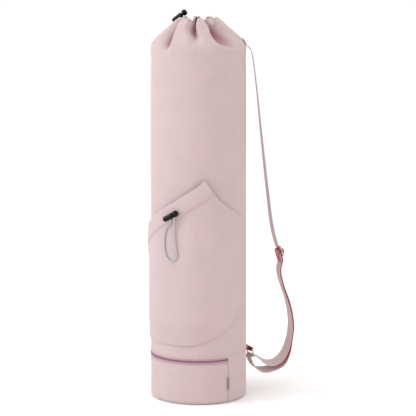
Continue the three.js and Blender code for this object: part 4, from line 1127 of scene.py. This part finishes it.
def arc(centre, radius, start, end, count):
    """Places on an arc about a centre."""
    angle = np.radians(np.linspace(start, end, count))
    return centre + radius * np.stack([np.cos(angle), np.sin(angle)], -1)


def ring_ends(sizes):
    """The middles of the ring's upper and lower bars."""
    out = wall_radius(sizes, sizes.lower_height) + RING_OUT * sizes.strap_reach
    top = np.array([out, sizes.lower_height - RING_DROP])
    return top, top + plane_turn(RING_LEAN, RING_SPAN, 0)


def ring_wrap(sizes):
    """How far the webbing's middle lies from a bar's middle, clear of the corners of the CAD's bar."""
    return RING_WIRE * math.sqrt(0.5) + LAYER_GAP + sizes.webbing / 2


def strap_path(sizes):
    """The webbing's route: down to the slider, over its bar, round the loop to the ring, back inside the
    loop and over the bar again to its sewn tail."""
    webbing = sizes.webbing
    slider = np.array([wall_radius(sizes, SLIDER_HEIGHT) + SLIDER_OUT * sizes.strap_reach, SLIDER_HEIGHT])

    def beside(down, out):
        return slider + plane_turn(SLIDER_LEAN, down, out)

    first_layer = SLIDER_THICKNESS / 2 + LAYER_GAP + webbing / 2
    layer_step = webbing + LAYER_GAP
    first_pass = SLIDER_BAR / 2 + LAYER_GAP + webbing / 2
    outer_pass = first_pass + layer_step
    inner = first_layer + layer_step
    bend = SLIDER_BEND
    tail_out = -inner - layer_step - EASE

    def over(layer):
        reach, lift = first_pass + layer * layer_step, first_layer + layer * layer_step
        corner = SLIDER_CORNER
        return [
            beside(-reach, -SLIDER_THICKNESS / 2), beside(-reach, lift - corner),
            beside(-reach + corner, lift), beside(reach - corner, lift),
            beside(reach, lift - corner), beside(reach, -SLIDER_THICKNESS / 2),
        ]

    rest = sizes.seam + webbing / 2
    shares = np.array(SEWN_SHARES)
    crest, _ = gather_curve(sizes, CREST_SHARES, sizes.mouth_radius, 1, shares)
    ahead, _ = gather_curve(sizes, CREST_SHARES, sizes.mouth_radius, 1, shares + SEWN_STEP)
    way = unit(ahead - crest)
    on_crest = crest + rest * np.stack([way[:, 1], -way[:, 0]], -1)
    _, ring_foot = ring_ends(sizes)
    wrap = ring_wrap(sizes)
    down = through([
        *on_crest, *strap_places(sizes, STRAP_DOWN),
        beside(-outer_pass - SLIDER_START, -first_layer - EASE_START),
        beside(-outer_pass - SLIDER_NEAR, -first_layer - EASE),
        beside(-outer_pass - bend, -first_layer + EASE_NEAR),
    ], 260)
    outer = through([
        beside(outer_pass + bend, -first_layer + EASE_NEAR),
        beside(outer_pass + SLIDER_NEAR, -first_layer),
        beside(outer_pass + SLIDER_FAR, -first_layer), *strap_places(sizes, STRAP_OUTER),
        *arc(ring_foot, wrap, *ARRIVES, 2),
    ], 300)
    back = through([
        arc(ring_foot, wrap, *LEAVES, 2)[0], *strap_places(sizes, STRAP_INNER),
        beside(outer_pass + SLIDER_FAR, -inner - EASE),
        beside(outer_pass + SLIDER_NEAR, -inner - EASE),
        beside(first_pass + bend, -inner),
    ], 260)
    tail = [
        beside(-first_pass + EASE_NEAR, tail_out + bend),
        beside(-first_pass + bend + EASE_TAIL, tail_out),
        beside(0.5 * SEWN_TAIL, tail_out - EASE), beside(SEWN_TAIL, tail_out - EASE),
    ]
    round_foot = arc(ring_foot, wrap, *ROUND_FOOT, 9)
    return np.vstack([down, over(1), outer, round_foot, back, over(0)[::-1], tail])


def eased(points, count, window):
    """A line spread evenly, each point then the mean of its neighbours, which rounds its corners."""
    line = even(points, count)
    padded = np.concatenate([np.repeat(line[:1], window, 0), line, np.repeat(line[-1:], window, 0)])
    mean = sum(padded[n:n + count] for n in range(2 * window + 1)) / (2 * window + 1)
    mean[0], mean[-1] = line[0], line[-1]
    return mean


STRAP_STATIONS = 1300


def layer_painted_shade(sizes, places):
    """How much painted shade the webbing takes at each place, a red standing in for the light its layers
    bounce between them: full where the loop's other layer lies within a few millimetres, and none where it
    is far off."""
    run = run_length(places)
    apart = np.linalg.norm(places[:, None] - places[None], axis=-1)
    along = np.abs(run[:, None] - run[None])
    nearest = np.where(along > SAME_LAYER, apart, 1).min(1)
    return 1 - step(nearest, 2 * sizes.webbing, 8 * sizes.webbing)


def make_strap(sizes):
    """The strap's webbing, the tab that holds its ring, and the ring."""
    profile = box_profile(sizes.webbing_width, sizes.webbing, WEBBING_EDGE)
    # Painted shade: the webbing's side towards the loop's other layer is drawn red where the layers lie
    # close.
    inward = (profile[:, 1] < 0).astype(float)[None, :]
    places = eased(strap_path(sizes), STRAP_STATIONS, 1)
    tint = np.pad(layer_painted_shade(sizes, places), 4, mode="edge")
    points, across = strap_points(sizes, places)
    sheets = add_tube(Sheets(), points, profile, across, cap=WEBBING_CAP, shade=inward * tint[:, None])
    add_piece("strap", sheets, finish_of("webbing"), "bag", ["strap_webbing"])

    top, foot = ring_ends(sizes)
    wrap = ring_wrap(sizes)
    root = wall_radius(sizes, sizes.lower_height) + sizes.seam
    low = sizes.lower_height
    tab = np.array([
        [root, low + 2.4 * MM], [root + 3.6 * MM, low + MM], *arc(top, wrap, *ROUND_TOP, 9),
        [top[0] - 4.4 * MM, top[1] - 1.6 * MM], [root + 3 * MM, low - 2.6 * MM], [root, low - 1.2 * MM],
    ])
    points, across = strap_points(sizes, eased(through(tab, 160), 160, 2))
    sheets = add_tube(Sheets(), points, profile, across, cap=WEBBING_CAP)
    add_piece("ring_loop", sheets, finish_of("tab"), "bag", ["ring_tab"])

    middle, side = strap_points(sizes, [(top + foot) / 2])
    out, _ = strap_axes(sizes, (top[1] + foot[1]) / 2)
    lean = math.radians(RING_LEAN)
    rise = np.array([0, 0, 1]) * math.cos(lean) - out * math.sin(lean)
    loop = box_profile(METAL_WIDTH - RING_WIRE, RING_SPAN, 2.2 * MM, 8)
    path = middle + loop[:, :1] * side + loop[:, 1:] * rise
    path = even(np.vstack([path, path[:1]]), 161)[:-1]
    sheets = add_tube(Sheets(), path, ring_profile(RING_WIRE / 2, 16), is_loop=True)
    add_piece("ring", sheets, finish_of("metal"), "bag", ["strap_ring"])


def soften(name, node, finish, body, width):
    """A softened copy of a hard piece: its points merged, its flat faces joined and its edges rounded."""
    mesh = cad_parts[node].data.copy()
    mesh.name = name
    work = bmesh.new()
    work.from_mesh(mesh)
    bmesh.ops.remove_doubles(work, verts=work.verts, dist=1e-6)
    bmesh.ops.dissolve_limit(work, angle_limit=math.radians(1), verts=work.verts, edges=work.edges)
    work.to_mesh(mesh)
    work.free()
    mesh.materials.clear()
    mesh.materials.append(finish)
    mesh.shade_smooth()
    piece = bpy.data.objects.new(name, mesh)
    bpy.context.scene.collection.objects.link(piece)
    bevel = piece.modifiers.new("rounded", "BEVEL")
    bevel.width, bevel.segments, bevel.limit_method = width, 3, "ANGLE"
    bevel.angle_limit, bevel.harden_normals = math.radians(20), True
    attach(piece, body)
    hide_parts(node)
    return piece


def make_metalwork():
    """The strap's slider and the zips' sliders, pulls and grips."""
    soften("slider", "strap_slider", finish_of("metal"), "bag", 0.55 * MM)
    for side in ("side", "lower"):
        for part, node, body, kind, width in (
            ("slider", "slider", "bag", "metal", 0.3 * MM),
            ("puller", "pull", f"{side}_pull", "metal", 0.25 * MM),
            ("sleeve", "grip", f"{side}_pull", "grip", 0.6 * MM),
        ):
            soften(f"{side}_{part}", f"{side}_zip_{node}", finish_of(kind), body, width)


# Zips
TAPE_THICKNESS = 1 * MM
TAPE_RECESS = 0.6 * MM
COIL_WIDTH = 3 * MM
# How far the teeth's line stands out, and the flat core that the teeth close over: half its height, how
# deep it lies and its share of the side zip's coil.
LOWER_COIL_OUT = 0.1 * MM
SIDE_COIL_OUT = 0.5 * MM
HALF_CORE = 1.0 * MM
CORE_SINK = 0.4 * MM
CORE_SHARE = 0.7
CORE_THICKNESS = 0.9 * MM
TOOTH_PITCH = 1.5 * MM
TOOTH_RADIUS = 0.62 * MM
TOOTH_LEAN = 0.22
SIDE_ZIP_FOOT = 0.112
SIDE_ZIP_LENGTH = 0.176
SIDE_ZIP_WIDTH = 0.017


def band_grid(sizes, start, end, foot, top, columns, rows, outset):
    """A band round the bag between two angles and two heights, set out from the wall's face."""
    angle = np.linspace(start, end, columns)[None, :]
    height = np.linspace(foot, top, rows)[:, None]
    return around(wall_radius(sizes, height) + outset, angle, height)


def add_teeth(sheets, path, out, tooth_length):
    """Adds a closed coil: bars across the zip, each a little turned from the last, as its sides lock."""
    places, axes = line_frames(path, out, TOOTH_PITCH)
    tooth = capsule(tooth_length, TOOTH_RADIUS, 8, 7)
    lean = np.where(np.arange(len(places)) % 2 == 0, TOOTH_LEAN, -TOOTH_LEAN)[:, None]
    way, side, up = axes[:, 0], axes[:, 1], axes[:, 2]
    bar = unit(side + way * lean)
    turned = np.stack([bar, np.cross(up, bar), up], 1)
    return add_copies(sheets, tooth, places, turned)


def make_zips(sizes):
    """Both zips: their woven tapes and their coils."""
    low, band, seam = sizes.lower_height, sizes.zip_band, sizes.seam
    gap = math.degrees(seam / sizes.base_radius)
    start, end = math.degrees(sizes.zip_start) + gap, math.degrees(sizes.zip_end) - gap
    middle = low - band / 2
    tapes = Sheets()
    outset = -TAPE_RECESS - TAPE_THICKNESS / 2
    half = COIL_WIDTH / 2 + seam
    for foot, top in ((low - band + seam, middle - half), (middle + half, low - seam)):
        grid = band_grid(sizes, start, end, foot, top, 240, 7, outset)
        add_sheet(tapes, grid, TAPE_THICKNESS)
    add_piece("lower_tapes", tapes, finish_of("tape"), "bag",
              ["lower_zip_tape_lower", "lower_zip_tape_upper"])
    coil = Sheets()
    path = band_grid(sizes, start, end, middle, middle, 400, 1, LOWER_COIL_OUT)[0]
    out = unit(path * [1, 1, 0])
    add_teeth(coil, path, out, COIL_WIDTH)
    core = band_grid(sizes, start, end, middle - HALF_CORE, middle + HALF_CORE, 240, 5, -CORE_SINK)
    add_sheet(coil, core, CORE_THICKNESS)
    add_piece("lower_coil", coil, finish_of("coil"), "bag", ["lower_zip_coil"])

    side = math.degrees(sizes.side_zip)
    half_band = math.degrees(SIDE_ZIP_WIDTH / 2 / sizes.base_radius)
    half_coil = math.degrees(COIL_WIDTH / 2 / sizes.base_radius)
    top = SIDE_ZIP_FOOT + SIDE_ZIP_LENGTH
    tapes = Sheets()
    outset = seam + SWELL_ROOM * sizes.cloth + TAPE_THICKNESS / 2
    for first, last in (
        (side + half_coil + gap, side + half_band), (side - half_band, side - half_coil - gap),
    ):
        grid = band_grid(sizes, first, last, SIDE_ZIP_FOOT, top, 9, 120, outset)
        add_sheet(tapes, grid, TAPE_THICKNESS)
    add_piece("side_tapes", tapes, finish_of("tape"), "bag",
              ["side_zip_tape_front", "side_zip_tape_back"])
    coil = Sheets()
    height = np.linspace(SIDE_ZIP_FOOT, top, 300)
    path = around(wall_radius(sizes, height) + outset + SIDE_COIL_OUT, side, height)
    add_teeth(coil, path, unit(path * [1, 1, 0]), COIL_WIDTH)
    half_core = half_coil * CORE_SHARE
    core = band_grid(sizes, side - half_core, side + half_core, SIDE_ZIP_FOOT, top, 5, 120, outset)
    add_sheet(coil, core, CORE_THICKNESS)
    add_piece("side_coil", coil, finish_of("coil"), "bag", ["side_zip_coil"])


TAG_FOOT = 0.025
TAG_HEIGHT = 22 * MM
TAG_REACH = (0.3 * MM, 3.8 * MM)
TAG_LEAN = 40
TAG_THICKNESS = 0.7 * MM
TAG_SHIFT = 0.4 * MM


def make_tag(sizes):
    """The small bare tag that stands in the lower compartment's vertical seam and leans left."""
    end = math.degrees(sizes.zip_end)
    root = wall_radius(sizes, TAG_FOOT) + sizes.seam
    foot = around(root, end, np.linspace(TAG_FOOT, TAG_FOOT + TAG_HEIGHT, 24))
    across = around(1, end - TAG_LEAN, 0)
    grid = foot[:, None] + across * np.linspace(*TAG_REACH, 9)[None, :, None]
    grid = grid - np.cross(across, [0, 0, 1]) * TAG_SHIFT
    sheets = add_sheet(Sheets(), grid, TAG_THICKNESS)
    add_piece("bare_tag", sheets, finish_of("tag"), "bag", ["side_tag"])


# Cords and their locks, in millimetres
Lock = namedtuple("Lock", "place way")
POCKET_LOCK = Lock((-48.2, -91, 340.6), (24.1, -13, 15))
TOP_LOCK = Lock((-33.2, 25.6, 681.8), (0.76, -0.26, 0.6))
POCKET_CORD_POINTS = (
    (-48.6, -90.9, 333.9), (-48.6, -90.6, 331.2), (-51.4, -87.2, 326.6), (-56, -82, 319),
    (-58.9, -79.7, 308), (-59.9, -79, 296), (-59.3, -80.9, 281), (-56.2, -84, 269),
    (-50.9, -87.4, 261.8), (-46, -89.6, 260.1), (-40.2, -91.1, 264.8), (-38.1, -90.6, 274.3),
    (-40.2, -88.7, 287.8), (-41.6, -87.8, 303.8), (-42.3, -88.6, 318), (-42.2, -91.6, 329),
    (-41.9, -94, 334.6), (-42.2, -94.3, 337.8),
)
TOP_CORD_POINTS = (
    (-35, 31.9, 677.6), (-33.9, 35.7, 675.8), (-43, 48.2, 656.2), (-49.7, 55.2, 647.6),
    (-57.9, 62.2, 634.1), (-59.5, 62.9, 617.3), (-57.9, 64.3, 601.5), (-56.4, 66, 575),
    (-54.1, 68, 545), (-50.5, 70.8, 518), (-45.5, 74.2, 504), (-39.5, 77.6, 500),
    (-33.3, 80.4, 504), (-28.3, 82.2, 518), (-26.1, 82.9, 545), (-26.8, 82.5, 575),
    (-28.8, 81.4, 601.5), (-31.4, 79.3, 617.6), (-31.9, 69, 632.3), (-29.6, 55.8, 642.8),
    (-28.7, 46.8, 653.5), (-29, 36.1, 677.8), (-30.4, 30.3, 681.2),
)
LOCK_RADIUS = 4.8 * MM
LOCK_LENGTH = 20 * MM
BORE_RADIUS = 3.5 * MM
BORE_DEPTH = 12 * MM
BUTTON_RADIUS = 5.5 * MM
BUTTON_LENGTH = 8 * MM
BUTTON_TRAVEL = 3 * MM
LOCK_CLEARANCE = 0.3 * MM
CORD_INSIDE = 0.9 * MM


def round_line(rows, radius, steps=5):
    """A line of radius and height rows with its inner corners rounded by quadratic curves."""
    rows = np.asarray(rows, float)
    points = [rows[:1]]
    for before, corner, after in zip(rows[:-2], rows[1:-1], rows[2:]):
        reach_in = min(radius, np.linalg.norm(before - corner) * 0.45)
        reach_out = min(radius, np.linalg.norm(after - corner) * 0.45)
        first = corner + unit(before - corner) * reach_in
        last = corner + unit(after - corner) * reach_out
        t = np.linspace(0, 1, steps)[:, None]
        points.append((1 - t) ** 2 * first + 2 * (1 - t) * t * corner + t**2 * last)
    points.append(rows[-1:])
    return np.vstack(points)


# The cords' holes in a lock's barrel: how far below its rim at least, how deep, the radii between which
# they rise to the barrel, and the raised lip round them.
HOLE_BELOW_RIM = 1.9 * MM
HOLE_DEPTH = 0.95 * MM
HOLE_FROM, HOLE_TO = 1.1 * MM, 1.6 * MM
LIP_RADIUS, LIP_WIDTH, LIP_HEIGHT = 2 * MM, 0.3 * MM, 0.15 * MM
BARREL_EDGE = 0.5 * MM
BUTTON_EDGE = 1.4 * MM


def make_lock(prefix, lock, cord_points):
    """A cord lock: a barrel with a hole for each run of the cord, and its sprung button."""
    place = np.array(lock.place) * MM
    z_axis = unit(np.array(lock.way, float))
    toward = np.array(cord_points[0]) * MM - place
    x_axis = unit(toward - z_axis * np.dot(toward, z_axis))
    y_axis = np.cross(z_axis, x_axis)
    half = (LOCK_LENGTH + BUTTON_TRAVEL + BUTTON_LENGTH) / 2
    floor = LOCK_LENGTH - BORE_DEPTH
    body = round_line([
        (0, 0), (LOCK_RADIUS - 1.2 * MM, 0), (LOCK_RADIUS, 2.4 * MM),
        *((LOCK_RADIUS, z) for z in np.linspace(4, 19, 61) * MM),
        (LOCK_RADIUS, LOCK_LENGTH), (BORE_RADIUS, LOCK_LENGTH), (BORE_RADIUS, floor), (0, floor),
    ], BARREL_EDGE) - [0, half]
    grid = turned_grid(body, 96, place, x_axis, y_axis, z_axis)
    sideways = (grid - place) - ((grid - place) @ z_axis)[..., None] * z_axis
    radial = unit(sideways)
    outer = np.linalg.norm(sideways, axis=-1) > LOCK_RADIUS * 0.97
    for end in (cord_points[0], cord_points[-1]):
        toward = np.array(end) * MM - place
        up = min(np.dot(toward, z_axis), LOCK_LENGTH - half - HOLE_BELOW_RIM)
        hole = place + z_axis * up + unit(toward - z_axis * np.dot(toward, z_axis)) * LOCK_RADIUS
        away = np.linalg.norm(grid - hole, axis=-1)
        rim = LIP_HEIGHT * np.exp(-((away - LIP_RADIUS) / LIP_WIDTH) ** 2)
        sink = HOLE_DEPTH * (1 - step(away, HOLE_FROM, HOLE_TO)) - rim
        grid = grid - radial * (sink * outer)[..., None]
    sheets = Sheets().add(grid, is_round=True)
    barrel = add_piece(f"{prefix}_lock_barrel", sheets, finish_of("lock"), "bag",
                       [f"{prefix}_lock_body"])

    stem = BORE_RADIUS - LOCK_CLEARANCE
    low = floor + BUTTON_TRAVEL + LOCK_CLEARANCE
    foot = LOCK_LENGTH + BUTTON_TRAVEL + LOCK_CLEARANCE
    head = LOCK_LENGTH + BUTTON_TRAVEL + BUTTON_LENGTH
    button = round_line([
        (0, low), (stem, low), (stem, foot),
        (BUTTON_RADIUS - 0.5 * MM, foot), (BUTTON_RADIUS, foot + MM), (BUTTON_RADIUS, head - 3 * MM),
        (BUTTON_RADIUS - 1.2 * MM, head - 0.9 * MM), (BUTTON_RADIUS - 3 * MM, head), (0, head),
    ], BUTTON_EDGE) - [0, half]
    grid = turned_grid(button, 64, place, x_axis, y_axis, z_axis)
    sheets = Sheets().add(grid, is_round=True)
    knob = add_piece(f"{prefix}_lock_knob", sheets, finish_of("lock"), f"{prefix.split('_')[0]}_button",
                     [f"{prefix}_lock_button"])
    return barrel, knob


def make_cord(prefix, cord_points, diameter, lock_pieces):
    """An elastic cord's spare loop: a round section along the route's points, its ends in the lock."""
    path = even(through(np.array(cord_points) * MM, 600), 260)
    first = path[0] - unit(path[1] - path[0]) * CORD_INSIDE
    last = path[-1] + unit(path[-1] - path[-2]) * CORD_INSIDE
    path = np.vstack([first, path, last])
    sheets = add_tube(Sheets(), path, ring_profile(diameter / 2, 14), cap=0.1 * MM)
    piece = add_piece(f"{prefix}_loop", sheets, finish_of("cord"), "bag", [prefix])


def make_cords(sizes):
    """Both cords, with their locks."""
    for prefix, lock, points, diameter in (
        ("pocket_cord", POCKET_LOCK, POCKET_CORD_POINTS, sizes.pocket_cord),
        ("top_cord", TOP_LOCK, TOP_CORD_POINTS, sizes.top_cord),
    ):
        make_cord(prefix, points, diameter, make_lock(prefix, lock, points))


# How far rows of stitches lie from the casing's foot as shares of the gathers, from the seams of the
# lower compartment, and beside the vertical seam in degrees.
CASING_ROWS = (-0.012, 0.018)
OVER_SEAM = 2.4 * MM
UNDER_ZIP = 2.2 * MM
BESIDE_SEAM = (-1.6, 1.6)
# The columns of the pocket's upper edge that carry the channel.
CHANNEL_COLUMNS = 342


def make_stitches(sizes):
    """The rows of stitches: under the mouth's casing, round the pocket and beside the zips."""
    start, _ = casing_start(sizes)
    angle = np.linspace(0, 360, 1200, endpoint=False)[None, :]
    threads = Sheets()
    for offset in CASING_ROWS:
        rows, _ = gathers(sizes, angle, start + offset + np.linspace(-0.01, 0.01, 3)[:, None])
        normals = grid_normals(rows, True)
        sew(threads, np.vstack([rows[1], rows[1][:1]]), np.vstack([normals[1], normals[1][:1]]))
    height = sizes.lower_height + OVER_SEAM
    row = around(wall_radius(sizes, height) + 0.1 * MM, angle[0], height)
    row = np.vstack([row, row[:1]])
    sew(threads, row, unit(row * [1, 1, 0]))
    add_piece("wall_stitches", threads, finish_of("thread"), "bag")

    threads = Sheets()
    panel = pocket_panel_grid(sizes, 500, 240, sizes.cloth)
    normals = grid_normals(panel, False)
    for line, out in (
        (panel[3], normals[3]),
        (panel[-4, :CHANNEL_COLUMNS], normals[-4, :CHANNEL_COLUMNS]),
        (panel[4:-4, -4], normals[4:-4, -4]),
    ):
        sew(threads, line, out)
    channel = pocket_channel_grid(sizes, 400, 30, POCKET_CHANNEL_THICKNESS)
    normals = grid_normals(channel, False)
    sew(threads, channel[2], normals[2])
    add_piece("pocket_stitches", threads, finish_of("thread"), "bag")

    threads = Sheets()
    start, end = math.degrees(sizes.zip_start), math.degrees(sizes.zip_end)
    height = sizes.lower_height - sizes.zip_band - UNDER_ZIP
    row = around(wall_radius(sizes, height) + 0.02 * MM, np.linspace(start + 1, end - 1, 500), height)
    sew(threads, row, unit(row * [1, 1, 0]))
    rise = np.linspace(sizes.corner + MM, sizes.lower_height - sizes.zip_band - MM, 200)
    for beside_seam in BESIDE_SEAM:
        row = around(wall_radius(sizes, rise) + 0.02 * MM, end + beside_seam, rise)
        sew(threads, row, unit(row * [1, 1, 0]))
    add_piece("lower_stitches", threads, finish_of("thread"), "bag")


# Stage
CAMERA_TARGET = Vector((0.017, 0.0, 0.341))
CAMERA_DISTANCE = 3.5
CAMERA_ELEVATION = math.radians(8.8)
CAMERA_LENS = 169.3
FLOOR_HALF = 30.0
SURROUNDINGS = 1.06


def make_camera():
    """The camera, at the photograph's height and angle."""
    data = bpy.data.cameras.new("camera")
    data.lens = CAMERA_LENS
    camera = bpy.data.objects.new("camera", data)
    back = Vector((0, -math.cos(CAMERA_ELEVATION), math.sin(CAMERA_ELEVATION)))
    camera.location = CAMERA_TARGET + back * CAMERA_DISTANCE
    camera.rotation_euler = (math.pi / 2 - CAMERA_ELEVATION, 0, 0)
    bpy.context.scene.collection.objects.link(camera)
    bpy.context.scene.camera = camera


Lamp = namedtuple("Lamp", "name place size power tint")
LAMPS = (
    Lamp("key", (-2.9, -0.9, 1.5), 1.3, 36, "#eef3ff"),
    Lamp("fill", (1.6, -2.6, 1.3), 1.6, 4, "#fff1e6"),
    Lamp("top", (-0.3, -0.4, 2.6), 1.2, 6, "#ffffff"),
)


def make_stage():
    """The floor, the soft studio lights and the white surroundings."""
    mesh = bpy.data.meshes.new("floor")
    corners = [(x * FLOOR_HALF, y * FLOOR_HALF, 0) for x, y in ((-1, -1), (1, -1), (1, 1), (-1, 1))]
    mesh.from_pydata(corners, [], [(0, 1, 2, 3)])
    mesh.materials.append(finish_of("floor"))
    floor = bpy.data.objects.new("floor", mesh)
    bpy.context.scene.collection.objects.link(floor)
    for lamp in LAMPS:
        data = bpy.data.lights.new(lamp.name, "AREA")
        data.shape, data.size, data.energy = "DISK", lamp.size, lamp.power
        data.color = linear(lamp.tint)[:3]
        light = bpy.data.objects.new(lamp.name, data)
        light.location = lamp.place
        light.rotation_euler = (CAMERA_TARGET - Vector(lamp.place)).to_track_quat("-Z", "Y").to_euler()
        bpy.context.scene.collection.objects.link(light)
    world = bpy.data.worlds.new("surroundings")
    world.use_nodes = True
    background = world.node_tree.nodes["Background"]
    background.inputs["Color"].default_value = (1, 1, 1, 1)
    background.inputs["Strength"].default_value = SURROUNDINGS
    bpy.context.scene.world = world
    bpy.context.scene.view_settings.view_transform = "Standard"


class MATBAG_OT_stage(bpy.types.Operator):
    """Adds the camera, the floor and the lights"""

    bl_idname = "matbag.stage"
    bl_label = "Stage"

    def execute(self, context):
        make_camera()
        make_stage()
        return {"FINISHED"}


class MATBAG_OT_wall(bpy.types.Operator):
    """Makes the wall with its gathers, and the drawcord's casing"""

    bl_idname = "matbag.wall"
    bl_label = "Wall and casing"

    def execute(self, context):
        make_wall(context.scene.mat_bag_sizes)
        make_mouth(context.scene.mat_bag_sizes)
        return {"FINISHED"}


class MATBAG_OT_lower(bpy.types.Operator):
    """Makes the lower compartment's panels, base and divider"""

    bl_idname = "matbag.lower"
    bl_label = "Lower compartment"

    def execute(self, context):
        make_lower(context.scene.mat_bag_sizes)
        return {"FINISHED"}


class MATBAG_OT_cords(bpy.types.Operator):
    """Makes the elastic cords and their locks"""

    bl_idname = "matbag.cords"
    bl_label = "Cords and locks"

    def execute(self, context):
        make_cords(context.scene.mat_bag_sizes)
        return {"FINISHED"}


class MATBAG_OT_pocket(bpy.types.Operator):
    """Makes the front pocket and its channel"""

    bl_idname = "matbag.pocket"
    bl_label = "Pocket"

    def execute(self, context):
        make_pocket(context.scene.mat_bag_sizes)
        return {"FINISHED"}


class MATBAG_OT_zips(bpy.types.Operator):
    """Makes both zips and the tag beside the lower one"""

    bl_idname = "matbag.zips"
    bl_label = "Zips and tag"

    def execute(self, context):
        make_zips(context.scene.mat_bag_sizes)
        make_tag(context.scene.mat_bag_sizes)
        return {"FINISHED"}


class MATBAG_OT_strap(bpy.types.Operator):
    """Makes the strap, its tab and its metal parts, and the zips' metal parts"""

    bl_idname = "matbag.strap"
    bl_label = "Strap and metalwork"

    def execute(self, context):
        make_strap(context.scene.mat_bag_sizes)
        make_metalwork()
        return {"FINISHED"}


class MATBAG_OT_stitches(bpy.types.Operator):
    """Sews the rows of stitches"""

    bl_idname = "matbag.stitches"
    bl_label = "Stitches"

    def execute(self, context):
        make_stitches(context.scene.mat_bag_sizes)
        return {"FINISHED"}


OPERATORS = (
    MATBAG_OT_stage, MATBAG_OT_cords, MATBAG_OT_wall, MATBAG_OT_lower, MATBAG_OT_pocket, MATBAG_OT_zips,
    MATBAG_OT_strap, MATBAG_OT_stitches,
)


class MATBAG_PT_panel(bpy.types.Panel):
    """Lists the bag's pieces, sizes and colours"""

    bl_idname = "MATBAG_PT_panel"
    bl_label = "Mat Bag"
    bl_space_type = "VIEW_3D"
    bl_region_type = "UI"
    bl_category = "Mat Bag"

    def draw(self, context):
        for operator in OPERATORS:
            self.layout.operator(operator.bl_idname)
        for group in (context.scene.mat_bag_sizes, context.scene.mat_bag_colours):
            box = self.layout.box()
            for name in group.bl_rna.properties.keys():
                if name not in ("rna_type", "name"):
                    box.prop(group, name)


CLASSES = (MatBagSizes, MatBagColours, *OPERATORS, MATBAG_PT_panel)


def register():
    for cls in CLASSES:
        bpy.utils.register_class(cls)
    bpy.types.Scene.mat_bag_sizes = PointerProperty(type=MatBagSizes)
    bpy.types.Scene.mat_bag_colours = PointerProperty(type=MatBagColours)


def unregister():
    del bpy.types.Scene.mat_bag_colours
    del bpy.types.Scene.mat_bag_sizes
    for cls in reversed(CLASSES):
        bpy.utils.unregister_class(cls)


def main():
    register()
    bpy.ops.matbag.stage()
    bpy.ops.matbag.cords()
    bpy.ops.matbag.wall()
    bpy.ops.matbag.lower()
    bpy.ops.matbag.pocket()
    bpy.ops.matbag.zips()
    bpy.ops.matbag.strap()
    bpy.ops.matbag.stitches()


if __name__ == "__main__":
    main()
